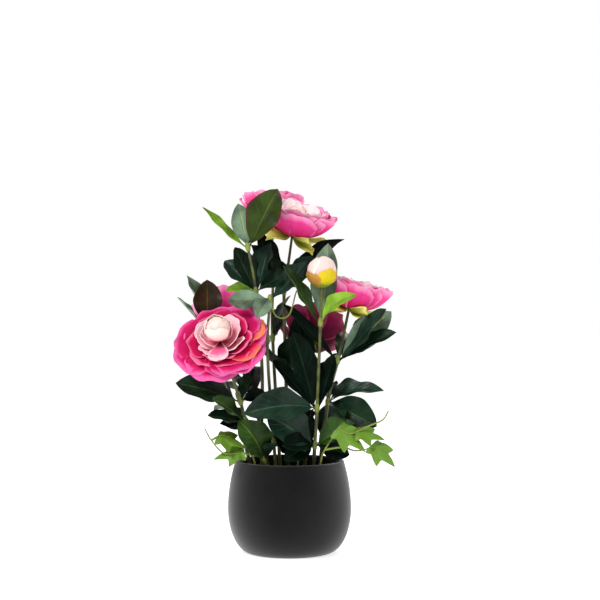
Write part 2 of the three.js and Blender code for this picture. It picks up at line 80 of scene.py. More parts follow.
# Each whorl sits on one point of a stem. A leaf is
# (turn, rise, length, width, arch as a share of length, roll about its own axis, tint).
WHORLS = {
    "leaves_left_high": ("stem_left", 4, [
        (352, 64, 67, 40, 0.03, 82, "rust"), (160, 77, 46, 26, 0, 110, "sage"),
        (199, 43, 62, 14, -0.05, -60, "bright"), (80, 38, 48, 20, 0.08, 0, "dark")]),
    "leaves_left_low": ("stem_left", 3, [
        (34, 74, 54, 34, 0, 10, "blue"), (160, 65, 52, 27, 0, -45, "dark"),
        (150, 42, 50, 26, 0, -30, "blue"), (196, 2, 30, 17, 0.06, -50, "bright"),
        (8, 30, 38, 26, 0.04, 45, "dark")]),
    "leaves_middle": ("stem_middle", 3, [
        (193, -1, 43, 22, -0.06, 80, "sage"), (22, 44, 57, 24, 0, 55, "blue"),
        (236, -42, 28, 22, 0.05, -30, "sage")]),
    "leaves_middle_foot": ("stem_middle", 1, [
        (12, 26, 42, 34, 0.04, 50, "black"), (345, -32, 28, 24, 0.06, 40, "black")]),
    "leaves_top_high": ("stem_top", 3, [
        (349, 50, 48, 29, 0, 60, "blue"), (4, 44, 85, 24, 0.12, 50, "black"),
        (104, 56, 42, 20, 0, 0, "dark"), (180, 69, 70, 28, 0, -40, "black"),
        (196, 57, 60, 32, 0, -60, "dark"), (68, 2, 50, 22, 0.08, 0, "dark")]),
    "leaves_top_low": ("stem_top", 2, [
        (239, 39, 42, 26, 0, -20, "black"), (285, 60, 50, 28, 0, 0, "black"),
        (150, 35, 60, 24, 0.08, 0, "dark")]),
    # The foot whorls are mostly near-black leaves: painted shade that fills the dark low middle of
    # the crown.
    "leaves_top_foot": ("stem_top", 1, [
        (232, 30, 34, 24, 0, -60, "black"), (325, 38, 44, 24, 0, 60, "black"),
        (276, -36, 34, 26, 0.08, 0, "black"), (340, -20, 30, 24, 0.05, 60, "black"),
        (72, 20, 58, 26, 0.1, 0, "dark")]),
    "leaves_left_foot": ("stem_left", 1, [
        (202, 14, 46, 22, 0.05, -40, "black"), (266, 10, 24, 18, 0.06, 0, "black"),
        (340, -34, 23, 16, 0.06, 70, "black")]),
    "leaves_bud_high": ("stem_bud", 3, [
        (197, 56, 71, 26, 0, -50, "olive"), (326, 38, 50, 20, 0.16, 60, "bright"),
        (72, 74, 88, 33, -0.06, 0, "sage")]),
    "leaves_bud_low": ("stem_bud", 2, [
        (203, -2, 80, 39, 0.14, -60, "blue"), (190, 75, 84, 34, 0, -70, "black"),
        (10, 74, 58, 24, 0, 40, "black"),
        (176, 50, 68, 20, 0, -50, "black"), (150, -60, 40, 24, 0.04, -40, "black")]),
    "leaves_bud_foot": ("stem_bud", 1, [
        (203, 34, 60, 43, 0.04, -70, "blue"), (352, 31, 46, 32, 0.08, 60, "olive"),
        (222, 2, 44, 26, 0.05, -50, "black"),
        (212, -20, 38, 26, 0.06, -50, "black"), (352, -16, 36, 22, 0.05, 80, "black"),
        (172, 68, 50, 22, 0.03, -50, "black")]),
    "leaves_right_high": ("stem_right", 2, [
        (335, 48, 76, 34, -0.03, 58, "blue"), (356, 45, 76, 33, 0.03, 75, "sage"),
        (338, 27, 70, 26, 0.03, 45, "dark"), (186, 47, 82, 18, 0, -50, "black"),
        (70, 30, 60, 24, 0.1, 0, "dark")]),
    "leaves_right_low": ("stem_right", 1, [
        (346, 11, 60, 20, 0.14, 35, "blue"), (331, -24, 60, 42, 0.02, 80, "dark"),
        (300, -26, 34, 18, 0.05, 0, "dark"), (40, 15, 62, 24, 0.12, 0, "dark"),
        (88, 12, 60, 24, 0.1, 0, "dark"), (100, -72, 46, 26, 0.04, 0, "black")]),
    "leaves_front_high": ("stem_front", 3, [
        (189, 18, 68, 33, 0.05, -60, "dark"), (39, 72, 30, 18, 0, 0, "dark"),
        (65, 45, 46, 20, 0.05, 0, "black"), (20, 12, 28, 20, 0.05, 60, "black")]),
    "leaves_front_low": ("stem_front", 2, [
        (221, 33, 50, 22, 0.03, -50, "olive"), (200, 12, 40, 20, 0, -45, "dark"),
        (130, 10, 55, 22, 0.1, 0, "dark")]),
    "leaves_front_foot": ("stem_front", 1, [
        (219, 56, 53, 40, 0.12, -80, "olive"), (300, 40, 30, 16, 0.1, 0, "black")]),
    "leaves_side": ("stem_side", 2, [
        (275, 84, 49, 34, 0, 180, "bronze"), (165, 71, 58, 29, 0, -10, "sage"),
        (175, 50, 42, 13, 0, 0, "sage"), (120, -25, 48, 20, 0.1, 0, "dark"),
        (92, -30, 50, 22, 0.1, 0, "dark")]),
    "leaves_shade": ("stem_shade", 1, [
        (150, 30, 62, 26, 0.1, 0, "dark"), (95, 30, 64, 26, 0.1, 0, "blue"),
        (200, 15, 55, 22, 0.1, 0, "dark"), (105, -10, 55, 24, 0.1, 0, "olive")]),
    "leaves_back": ("stem_back", 1, [
        (232, 74, 72, 30, 0, -141, "black"), (15, 35, 54, 22, 0.08, 0, "dark"),
        (72, 2, 64, 26, 0.12, 0, "blue"), (110, 5, 64, 26, 0.12, 0, "dark"),
        (82, -25, 56, 24, 0.1, 0, "olive")]),
    "leaves_peak": ("stem_peak", 2, [
        (66, 22, 62, 26, 0.06, 0, "blue"), (110, 30, 62, 26, 0.1, 0, "dark"),
        (160, 45, 58, 24, 0.05, 0, "olive"), (20, 25, 56, 22, 0.1, 0, "dark")]),
    "leaves_peak_low": ("stem_peak", 1, [
        (65, 32, 62, 26, 0.1, 0, "dark"), (98, -8, 58, 24, 0.1, 0, "blue"),
        (340, 72, 50, 22, 0.04, 0, "dark")]),
}

# Leaf pieces, each with the whorls that it stands for.
LEAF_PIECES = {
    "foliage_left": ["leaves_left_high", "leaves_left_low", "leaves_left_foot"],
    "foliage_middle": ["leaves_middle", "leaves_middle_foot"],
    "foliage_top": ["leaves_top_high", "leaves_top_low", "leaves_top_foot"],
    "foliage_bud": ["leaves_bud_high", "leaves_bud_low", "leaves_bud_foot"],
    "foliage_right": ["leaves_right_high", "leaves_right_low"],
    "foliage_front": ["leaves_front_high", "leaves_front_low", "leaves_front_foot"],
    "foliage_side": ["leaves_side", "leaves_shade"],
    "foliage_back": ["leaves_back", "leaves_peak", "leaves_peak_low"],
}

# Tint of a leaf: upper face, underside, midrib. The near-black tint is painted shade: a darker
# copy of the dark green, given to leaves low in the crown and behind it where shadow falls.
LEAF_TINTS = {
    "dark": ((0.005, 0.018, 0.008), (0.03, 0.06, 0.032), (0.03, 0.07, 0.022)),
    "blue": ((0.007, 0.024, 0.014), (0.036, 0.078, 0.055), (0.03, 0.08, 0.04)),
    "black": ((0.002, 0.007, 0.004), (0.012, 0.026, 0.016), (0.01, 0.026, 0.011)),
    "olive": ((0.02, 0.052, 0.009), (0.045, 0.08, 0.024), (0.09, 0.15, 0.02)),
    "rust": ((0.022, 0.04, 0.005), (0.024, 0.046, 0.006), (0.07, 0.09, 0.014)),
    "bronze": ((0.028, 0.016, 0.007), (0.035, 0.03, 0.012), (0.09, 0.05, 0.012)),
    "sage": ((0.12, 0.18, 0.12), (0.13, 0.2, 0.13), (0.24, 0.3, 0.1)),
    "bright": ((0.15, 0.29, 0.02), (0.22, 0.34, 0.05), (0.3, 0.4, 0.08)),
}

# A ring of petals: count, start, length, width, height of its foot, slope at foot and rim,
# ripple, overlap, how far its corners draw back, tint.
OPEN_RINGS = [
    (3, 80, 52, 70, 1, 18, -8, 1.8, 2.0, 0.12, "outer"),
    (1, 140, 52, 70, 1, 18, -8, 1.8, 2.0, 0.12, "outer"),
    (1, 260, 51, 70, 1, 18, -4, 1.8, 2.0, 0.12, "outer"),
    (1, 20, 53, 66, 1, 18, -4, 1.4, 2.0, 0.12, "outer"),
    (3, 50, 49, 62, 2, 18, 2, 1.6, 2.0, 0.12, "outer"),
    (2, 110, 49, 62, 2, 18, 2, 1.6, 2.0, 0.12, "outer"),
    (1, 16, 50, 44, 2.4, 16, 4, 1.2, 2.0, 0.14, "ember"),
    (1, 332, 47, 48, 2.4, 16, 8, 1.2, 2.0, 0.14, "ember"),
    (5, 14, 42, 54, 2, 2, 30, 1.2, 1.8, 0.14, "cup"),
    (5, 50, 37, 46, 3, 2, 46, 1.0, 1.5, 0.16, "cup"),
    (4, 55, 33, 34, 4, 0, 62, 0.6, 1.2, 0.16, "inner"),
    (2, 355, 31, 38, 5, 4, 78, 0.5, 1.0, 0.14, "inner"),
    (1, 95, 31, 40, 5, 4, 78, 0.5, 1.0, 0.14, "inner"),
    (1, 205, 30, 30, 7, 8, 88, 0.4, 0.6, 0.14, "inner"),
    (1, 140, 28, 32, 7, 8, 96, 0.4, 0.6, 0.14, "inner"),
    (1, 40, 28, 32, 7, 8, 96, 0.4, 0.6, 0.14, "inner"),
    (1, 275, 35, 27, 10.5, 12, 16, 0.5, 0, 0.16, "tongue"),
    (3, 30, 32, 40, 15.4, 0, 138, 0.4, 0.6, 0.2, "heart"),
    (3, 85, 33, 38, 15.6, 0, 148, 0.3, 0.5, 0.2, "heart"),
    (3, 45, 40, 38, 15.6, 0, 179, 0, 0.2, 0, "heart"),
]
BOWL_RINGS = [
    (7, 15, 60, 50, 0, -10, 84, 2.0, 2.4, 0.14, "bowl"),
    (7, 38, 57, 46, 1, -8, 84, 1.8, 2.2, 0.14, "bowl"),
    (6, 20, 51, 42, 2, 0, 84, 1.5, 1.8, 0.16, "bowl"),
    (6, 0, 45, 36, 4, 4, 84, 1.2, 1.4, 0.2, "cream"),
    (5, 40, 41, 32, 6, 6, 88, 1.0, 1.2, 0.2, "cream"),
    (3, 20, 28, 30, 11, 0, 140, 0.4, 0.8, 0.2, "heart"),
    (3, 75, 28, 30, 11, 0, 148, 0.3, 0.4, 0.2, "heart"),
    (3, 65, 33, 32, 11, 0, 179, 0, 0.2, 0, "heart"),
]
# The back bloom's bowl petals take a darker copy of the bowl tint: painted shade, as that bloom
# faces away into shadow.
SHADE_WINE_RINGS = [(*row[:-1], "wine" if row[-1] == "bowl" else row[-1]) for row in BOWL_RINGS]
SEPAL_RINGS = [
    (5, 10, 44, 30, -1.5, -12, 26, 2.4, 5.0, 0.2, "sepal"),
    (4, 46, 37, 26, -2.5, -20, 8, 2.2, -3.0, 0.2, "sepal"),
]
SHORT_SEPALS = [(5, 10, 18, 13, -1.5, -10, 40, 1.0, 1.0, 0.2, "sepal_olive")]
BUD_RINGS = [
    (4, 10, 45, 44, 0, 0, 168, 0.3, 1.0, 0.2, "blush"),
    (3, 50, 44, 44, 0.5, 0, 179, 0, 0.2, 0, "blush"),
    (2, 304, 28, 36, -0.8, 0, 98, 0.2, 0.4, 0.3, "sepal_gold"),
    (1, 216, 25, 36, -1.1, 0, 86, 0.2, 0.4, 0.3, "sepal_rust"),
    (4, 75, 12, 18, -1.5, 0, 46, 0.2, 0.3, 0.3, "sepal_olive"),
]

# Each bloom grows from the tip of its stem along its own axis; size scales its rings.
BLOOMS = {
    "bloom_front": ("stem_front", (-0.16, -0.73, 0.66), 1.0, [*SEPAL_RINGS, *OPEN_RINGS]),
    "bloom_top": ("stem_top", (0.25, -0.24, 0.93), 0.95, [*SEPAL_RINGS, *BOWL_RINGS]),
    "bloom_right": ("stem_right", (0.25, -0.04, 0.97), 0.91, [*SEPAL_RINGS, *BOWL_RINGS]),
    "bloom_shade": ("stem_shade", (-0.06, 0.62, 0.75), 0.82, [*SHORT_SEPALS, *BOWL_RINGS]),
    "bloom_back": ("stem_back", (0.06, 0.78, 0.62), 0.76, [*SHORT_SEPALS, *SHADE_WINE_RINGS]),
    "bloom_peak": ("stem_peak", (0.02, 0.2, 0.95), 0.78, [*SEPAL_RINGS, *BOWL_RINGS]),
}

# Tint of a petal: its foot, its middle, its rim, where the foot's colour ends and where the rim's
# colour starts. The near-black feet of the outer, ember, cup and tongue tints are painted shade
# between overlapping petals; the paler feet of the other tints are the petals' own colour.
PETAL_TINTS = {
    "outer": ((0.28, 0.0, 0.025), (0.62, 0.004, 0.115), (0.72, 0.12, 0.36), 0.98, 0.86),
    "ember": ((0.28, 0.0, 0.025), (0.74, 0.006, 0.09), (0.84, 0.22, 0.13), 0.96, 0.78),
    "bowl": ((0.7, 0.004, 0.12), (0.88, 0.05, 0.29), (0.95, 0.34, 0.58), 0.84, 0.8),
    # Painted shade: a darkened copy of the bowl tint for the bloom that faces away.
    "wine": ((0.1, 0.002, 0.02), (0.28, 0.01, 0.075), (0.42, 0.06, 0.16), 0.84, 0.74),
    "cup": ((0.24, 0.0, 0.02), (0.62, 0.004, 0.1), (0.85, 0.18, 0.36), 0.96, 0.88),
    "inner": ((0.7, 0.03, 0.12), (0.96, 0.3, 0.41), (0.99, 0.72, 0.77), 0.54, 0.42),
    "tongue": ((0.04, 0.0, 0.006), (0.86, 0.12, 0.3), (0.95, 0.6, 0.66), 0.7, 0.66),
    "cream": ((0.86, 0.2, 0.38), (0.92, 0.5, 0.6), (0.95, 0.82, 0.82), 0.8, 0.6),
    "heart": ((0.8, 0.18, 0.26), (0.9, 0.5, 0.5), (0.92, 0.7, 0.62), 0.7, 0.5),
    "blush": ((0.8, 0.36, 0.34), (0.9, 0.6, 0.56), (0.93, 0.78, 0.74), 0.7, 0.45),
    "sepal": ((0.3, 0.34, 0.035), (0.58, 0.58, 0.09), (0.72, 0.7, 0.17), 0.84, 0.7),
    "sepal_gold": ((0.2, 0.26, 0.012), (0.62, 0.5, 0.01), (0.66, 0.46, 0.02), 0.6, 0.75),
    "sepal_rust": ((0.18, 0.2, 0.012), (0.4, 0.2, 0.03), (0.48, 0.24, 0.05), 0.6, 0.75),
    "sepal_olive": ((0.1, 0.15, 0.012), (0.18, 0.24, 0.02), (0.24, 0.28, 0.03), 0.7, 0.75),
}

# A thin hooked runner hangs from the middle stem's whorl.
RUNNER = ([0.9, 0.7], [(-18, -40, 270), (-18, -40, 263), (-14, -38, 255), (-6.6, -36, 252.5),
                       (-0.3, -33, 256), (3, -30, 264), (6, -28, 276), (8, -28, 282)])

# Sprigs: the routes of their stalks and thin curls, and their lobed leaves
# (x, y, z, turn, rise, size, roll).
SPRIGS = {
    "sprig_right": (
        [[(31, -28, 62), (33.5, -35, 102), (41, -41, 120), (54, -46, 136)],
         [(38, -39, 114), (56, -44, 117), (71, -46, 113.5), (90, -46, 118)],
         [(53, -46, 136), (66, -47, 132), (84, -47, 140), (98, -46, 146), (104, -45, 155)]],
        [(52, -46, 136, 336, -30, 32, 42), (88, -46, 119, 335, -34, 28, 40),
         (72, -47, 133, 350, -6, 26, 38)]),
    "sprig_left": (
        [[(-34, -26, 62), (-37, -29, 101), (-44, -34, 109), (-56, -39, 110), (-70, -40, 111),
          (-82, -40, 124), (-89, -39, 136)],
         [(-82, -40, 124), (-72, -39, 129), (-62, -38, 127)]],
        [(-49, -36, 112, 190, -6, 28, -42), (-74, -39, 128, 350, -14, 27, 38)]),
    "sprig_back": (
        [[(8, 36, 62), (10, 43, 100), (20, 56, 112), (38, 68, 110)],
         [(12, 47, 106), (-6, 60, 114), (-24, 70, 108)]],
        [(18, 54, 111, 40, 0, 36, 0), (-4, 58, 114, 130, -4, 34, 0)]),
}
# Lobes of a sprig's leaf, as angle from its midline and reach as a share of its size.
LOBES = [(-150, 0.2), (-114, 0.42), (-84, 0.36), (-46, 0.72), (-24, 0.52), (0, 1), (24, 0.52),
         (46, 0.72), (84, 0.36), (114, 0.42), (150, 0.2)]


class PotSettings(bpy.types.PropertyGroup):
    """Sizes and colours of the pot and its filling."""
    foot_radius: bpy.props.FloatProperty(
        name="Foot radius", description="Radius of the flat underside", default=42 * MM,
        unit="LENGTH", subtype="DISTANCE")
    belly_radius: bpy.props.FloatProperty(
        name="Belly radius", description="Widest radius of the pot", default=66.5 * MM,
        unit="LENGTH", subtype="DISTANCE")
    belly_height: bpy.props.FloatProperty(
        name="Belly height", description="Height of the widest place", default=48 * MM,
        unit="LENGTH", subtype="DISTANCE")
    rim_radius: bpy.props.FloatProperty(
        name="Rim radius", description="Radius at the rim", default=58.4 * MM,
        unit="LENGTH", subtype="DISTANCE")
    height: bpy.props.FloatProperty(
        name="Height", description="Height of the pot", default=99 * MM,
        unit="LENGTH", subtype="DISTANCE")
    wall: bpy.props.FloatProperty(
        name="Wall", description="Thickness of the wall at the rim", default=5 * MM,
        unit="LENGTH", subtype="DISTANCE")
    filling_top: bpy.props.FloatProperty(
        name="Filling top", description="Height of the filling at its edge", default=85 * MM,
        unit="LENGTH", subtype="DISTANCE")
    sides: bpy.props.IntProperty(
        name="Sides", description="Faces round the pot", default=128, min=16)
    glaze: bpy.props.FloatVectorProperty(
        name="Pot colour", description="Colour of the pot's matte coat",
        default=(0.0005, 0.0005, 0.0009), subtype="COLOR")
    bloom: bpy.props.FloatVectorProperty(
        name="Cloud colour", description="Colour of the paler clouds in the coat",
        default=(0.003, 0.0029, 0.0032), subtype="COLOR")
    earth: bpy.props.FloatVectorProperty(
        name="Filling colour", description="Colour of the filling",
        default=(0.02, 0.014, 0.009), subtype="COLOR")


class LeafSettings(bpy.types.PropertyGroup):
    """Sizes of the leaves, stems and sprigs."""
    thickness: bpy.props.FloatProperty(
        name="Leaf thickness", description="Thickness of a leaf's cloth", default=0.5 * MM,
        unit="LENGTH", subtype="DISTANCE")
    fold: bpy.props.FloatProperty(
        name="Fold", description="How far the halves of a leaf fold up", unit="ROTATION",
        default=math.radians(22), subtype="ANGLE")
    ripple: bpy.props.FloatProperty(
        name="Ripple", description="Ripple of a leaf's edge as a share of its width",
        default=0.07, subtype="FACTOR")
    rows: bpy.props.IntProperty(
        name="Rows", description="Points along a leaf", default=19, min=5)
    columns: bpy.props.IntProperty(
        name="Columns", description="Points across a leaf", default=9, min=3)
    stem_sides: bpy.props.IntProperty(
        name="Stem sides", description="Faces round a stem", default=12, min=5)
    relief: bpy.props.FloatProperty(
        name="Stem relief", description="Height of the stems' bumps", default=0.16 * MM,
        unit="LENGTH", subtype="DISTANCE")
    stem_colour: bpy.props.FloatVectorProperty(
        name="Stem colour", description="Colour of the stems",
        default=(0.1, 0.12, 0.022), subtype="COLOR")
    stem_shade: bpy.props.FloatVectorProperty(
        name="Stem shade", description="Colour of the stems' darker streaks",
        default=(0.04, 0.036, 0.012), subtype="COLOR")
    collar_colour: bpy.props.FloatVectorProperty(
        name="Collar colour", description="Colour of the collars and the runner",
        default=(0.2, 0.26, 0.03), subtype="COLOR")
    sprig_colour: bpy.props.FloatVectorProperty(
        name="Sprig colour", description="Colour of the lobed leaves",
        default=(0.14, 0.27, 0.018), subtype="COLOR")


class PetalSettings(bpy.types.PropertyGroup):
    """Sizes of the petals."""
    thickness: bpy.props.FloatProperty(
        name="Petal thickness", description="Thickness of a petal's cloth", default=0.5 * MM,
        unit="LENGTH", subtype="DISTANCE")
    rows: bpy.props.IntProperty(
        name="Rows", description="Points along a petal", default=14, min=5)
    columns: bpy.props.IntProperty(
        name="Columns", description="Points across a petal", default=15, min=5)
    scallop: bpy.props.FloatProperty(
        name="Scallop", description="Waviness of a petal's rim", default=0.12,
        subtype="FACTOR")
    sheen: bpy.props.FloatProperty(
        name="Sheen", description="Soft sheen of the petals' cloth", default=0.03,
        subtype="FACTOR")


# The settings that the leaves' and the petals' trees take, by the names of their inputs.
LEAF_INPUTS = ("Rows", "Columns", "Thickness", "Fold", "Ripple")
PETAL_INPUTS = ("Rows", "Columns", "Thickness", "Scallop")


def tree_inputs(settings, labels):
    """The values of some settings, by the names of their inputs."""
    return {label: getattr(settings, label.lower()) for label in labels}


# Arithmetic on the sockets of a node tree.
class Field:
    """A value in a node tree, with the usual arithmetic."""

    def __init__(self, tree, socket):
        self.tree = tree
        self.socket = socket

    def math(self, operation, *others):
        node = self.tree.add("ShaderNodeMath", operation=operation)
        for socket, value in zip(node.inputs, (self, *others)):
            self.tree.feed(socket, value)
        return Field(self.tree, node.outputs[0])

    def __add__(self, other):
        return self.math("ADD", other)

    def __sub__(self, other):
        return self.math("SUBTRACT", other)

    def __mul__(self, other):
        return self.math("MULTIPLY", other)

    def __truediv__(self, other):
        return self.math("DIVIDE", other)

    def __pow__(self, other):
        return self.math("POWER", other)

    def __abs__(self):
        return self.math("ABSOLUTE")

    def sin(self):
        return self.math("SINE")

    def cos(self):
        return self.math("COSINE")

    def least(self, other):
        return self.math("MINIMUM", other)

    def most(self, other):
        return self.math("MAXIMUM", other)


# Socket of an input, by the type of its default.
SOCKETS = {int: "NodeSocketInt", float: "NodeSocketFloat", tuple: "NodeSocketColor"}


class Tree:
    """A node tree with named inputs and outputs, built step by step.

    An input is given by its default, or by its socket type where it has none.
    """

    def __init__(self, name, kind, inputs, outputs):
        self.tree = bpy.data.node_groups.new(name, kind)
        sockets = self.tree.interface
        for label, value in inputs.items():
            if isinstance(value, str):
                sockets.new_socket(label, in_out="INPUT", socket_type=value)
            else:
                item = sockets.new_socket(label, in_out="INPUT",
                                          socket_type=SOCKETS[type(value)])
                item.default_value = value
        for label, socket_type in outputs.items():
            sockets.new_socket(label, in_out="OUTPUT", socket_type=socket_type)
        self.entry = self.add("NodeGroupInput")
        self.exit = self.add("NodeGroupOutput")

    def feed(self, socket, value):
        if isinstance(value, Field):
            value = value.socket
        if isinstance(value, bpy.types.NodeSocket):
            self.tree.links.new(value, socket)
        else:
            socket.default_value = value

    def add(self, kind, inputs=None, **settings):
        node = self.tree.nodes.new(kind)
        for key, value in settings.items():
            setattr(node, key, value)
        for key, value in (inputs or {}).items():
            self.feed(node.inputs[key], value)
        return node

    def given(self, label):
        return Field(self, self.entry.outputs[label])

    def stored(self, *names, data_type="FLOAT"):
        """Values kept on the geometry, as fields of a geometry tree."""
        nodes = [self.add("GeometryNodeInputNamedAttribute", {"Name": name},
                          data_type=data_type) for name in names]
        return [Field(self, node.outputs["Attribute"]) for node in nodes]

    def painted(self, name):
        """A value kept on the geometry, as a field of a shader tree."""
        return Field(self, self.add("ShaderNodeAttribute", attribute_name=name).outputs["Fac"])

    def store(self, geometry, name, value, data_type="FLOAT", domain="POINT"):
        node = self.add("GeometryNodeStoreNamedAttribute", {"Geometry": geometry, "Name": name},
                        data_type=data_type, domain=domain)
        self.feed(node.inputs["Value"], value)
        return Field(self, node.outputs["Geometry"])

    def split(self, vector):
        node = self.add("ShaderNodeSeparateXYZ", {0: vector})
        return [Field(self, socket) for socket in node.outputs]

    def vector(self, x, y, z):
        node = self.add("ShaderNodeCombineXYZ", {0: x, 1: y, 2: z})
        return Field(self, node.outputs[0])

    def along(self, *pairs):
        """The sum of vectors, each times its amount."""
        total = None
        for vector, amount in pairs:
            part = self.add("ShaderNodeVectorMath", {0: vector, "Scale": amount},
                            operation="SCALE").outputs[0]
            if total is not None:
                part = self.add("ShaderNodeVectorMath", {0: total, 1: part},
                                operation="ADD").outputs[0]
            total = part
        return Field(self, total)

    def blend(self, factor, first, second):
        """A colour between two, by a factor."""
        node = self.add("ShaderNodeMix", data_type="RGBA", clamp_factor=True)
        for place, value in ((0, factor), (6, first), (7, second)):
            self.feed(node.inputs[place], value)
        return Field(self, node.outputs[2])

    def toned(self, value, colour):
        """A colour made lighter or darker."""
        node = self.add("ShaderNodeHueSaturation", {"Value": value, "Color": colour})
        return Field(self, node.outputs[0])

    def step(self, value, low, high):
        """0 at low, 1 at high, and smooth between; low may be the larger."""
        node = self.add("ShaderNodeMapRange", {"Value": value, "From Min": low, "From Max": high},
                        interpolation_type="SMOOTHSTEP")
        return Field(self, node.outputs["Result"])

    def noise(self, vector, scale, detail=2.0, roughness=0.5):
        node = self.add("ShaderNodeTexNoise", {"Vector": vector, "Scale": scale,
                                               "Detail": detail, "Roughness": roughness})
        return Field(self, node.outputs[0])


def geometry_tree(name, inputs, materials):
    return Tree(name, "GeometryNodeTree", {
        "Geometry": "NodeSocketGeometry", **inputs,
        **dict.fromkeys(materials, "NodeSocketMaterial")}, {"Geometry": "NodeSocketGeometry"})


def sheets(tree):
    """A thin unit sheet set on every point, with its place on the sheet kept as attributes."""
    blank = tree.add("GeometryNodeMeshCube", {
        "Size": (1, 1, 1), "Vertices X": tree.given("Columns"),
        "Vertices Y": tree.given("Rows"), "Vertices Z": 2})
    x, y, z = tree.split(tree.add("GeometryNodeInputPosition").outputs[0])
    geometry = blank.outputs["Mesh"]
    for name, value in (("across", x * 2.0), ("along", y + 0.5), ("through", z * 2.0)):
        geometry = tree.store(geometry, name, value)
    spread = tree.add("GeometryNodeInstanceOnPoints", {
        "Points": tree.given("Geometry"), "Instance": geometry})
    real = tree.add("GeometryNodeRealizeInstances", {"Geometry": spread.outputs[0]})
    return real.outputs[0]


def finish_sheets(tree, geometry, position, tints):
    """Moves the sheets' points, keeps a map on them and gives each its tint."""
    across, along, tint = tree.stored("across", "along", "tint")
    spot = tree.vector(across * 0.5 + 0.5, along, 0.0)
    geometry = tree.store(geometry, "sheet_map", spot, "FLOAT2", "CORNER")
    placed = tree.add("GeometryNodeSetPosition", {"Geometry": geometry, "Position": position})
    smooth = tree.add("GeometryNodeSetShadeSmooth", {"Geometry": placed.outputs[0]})
    geometry = smooth.outputs[0]
    for i, name in enumerate(tints):
        chosen = abs(tint - float(i)).math("LESS_THAN", 0.5)
        node = tree.add("GeometryNodeSetMaterial", {
            "Geometry": geometry, "Selection": chosen, "Material": tree.given(name)})
        geometry = node.outputs[0]
    tree.feed(tree.exit.inputs[0], geometry)
    return tree.tree


# How a leaf is cut: the share that is stalk, how far out its belly sits, how full it is,
# and the least half width of its stalk and of its tip in millimetres.
PETIOLE_SHARE = 0.06
BELLY_POWER = 1.12
FULLNESS = 0.72
STALK_HALF = 0.9
TIP_HALF = 0.12
# How a leaf is bent: the hollow of each half, the waves of its edge, how they slant and how
# far each leaf's own number shifts them, the groove of its rib in millimetres, and how late
# its tip hooks and twists.
CUP_POWER = 1.3
EDGE_POWER = 1.6
EDGE_WAVES = 15.0
EDGE_SLANT = 1.8
EDGE_SHIFT = 40.0
GROOVE_STEEPNESS = 14.0
GROOVE_DEPTH = 0.5
HOOK_POWER = 3.0
TWIST_POWER = 1.5


def leaf_tree(leaf):
    tree = geometry_tree("leaf_spray", tree_inputs(leaf, LEAF_INPUTS), LEAF_TINTS)
    geometry = sheets(tree)
    across, along, through, seed, length, width, arch, curl, twist = tree.stored(
        "across", "along", "through", "seed", "length", "width", "arch", "curl", "twist")
    foot, ahead, side, face = tree.stored("foot", "ahead", "side", "face",
                                          data_type="FLOAT_VECTOR")
    fold = tree.given("Fold")
    blade = ((along - PETIOLE_SHARE) / (1 - PETIOLE_SHARE)).most(0.0)
    share = (blade ** BELLY_POWER * math.pi).sin().most(0.0) ** FULLNESS
    rest = along * -1.0 + 1.0
    half = (width * 0.5 * share).most(rest * STALK_HALF * MM).most(TIP_HALF * MM)
    edge = abs(across)
    bow = arch * length * 4.0 * along * rest
    cup = edge ** CUP_POWER * half * fold.sin()
    wave = (along * EDGE_WAVES + across * EDGE_SLANT + seed * EDGE_SHIFT).sin()
    ripple = tree.given("Ripple") * width * edge ** EDGE_POWER * wave * share
    hook = curl * length * along ** HOOK_POWER
    groove = (edge * -GROOVE_STEEPNESS).math("EXPONENT") * share * -GROOVE_DEPTH * MM
    lift = cup + ripple + groove + through * (tree.given("Thickness") * 0.5)
    out = across * half * fold.cos()
    turn = twist * along ** TWIST_POWER
    position = tree.along(
        (foot, 1.0), (ahead, along * length), (side, out * turn.cos() - lift * turn.sin()),
        (face, bow + hook + out * turn.sin() + lift * turn.cos()))
    return finish_sheets(tree, geometry, position, LEAF_TINTS)


# How a petal is cut: how late its rim draws back to its corners, the waves of its rim, where
# it reaches its full width, how late a pointed one narrows, and the least radius, in
# millimetres, that its width is wrapped round.
CORNER_POWER = 2.6
RIM_WAVES = 7.0
WIDENING = (-0.15, 0.72)
POINT_POWER = 2.4
WRAP_RADIUS = 5
# How a petal is bent: how late it ripples and laps over its neighbour, its long and short
# waves, and the curl of its rim. Each petal's own number shifts its waves.
RIPPLE_POWER = 2.2
OVERLAP_POWER = 0.5
LONG_WAVES = 5.5
SHORT_WAVES = 11.0
SHORT_SHARE = 0.45
RIM_SHIFT = 30.0
LONG_SHIFT = 50.0
SHORT_SHIFT = 90.0
RIM_CURL = -1.1


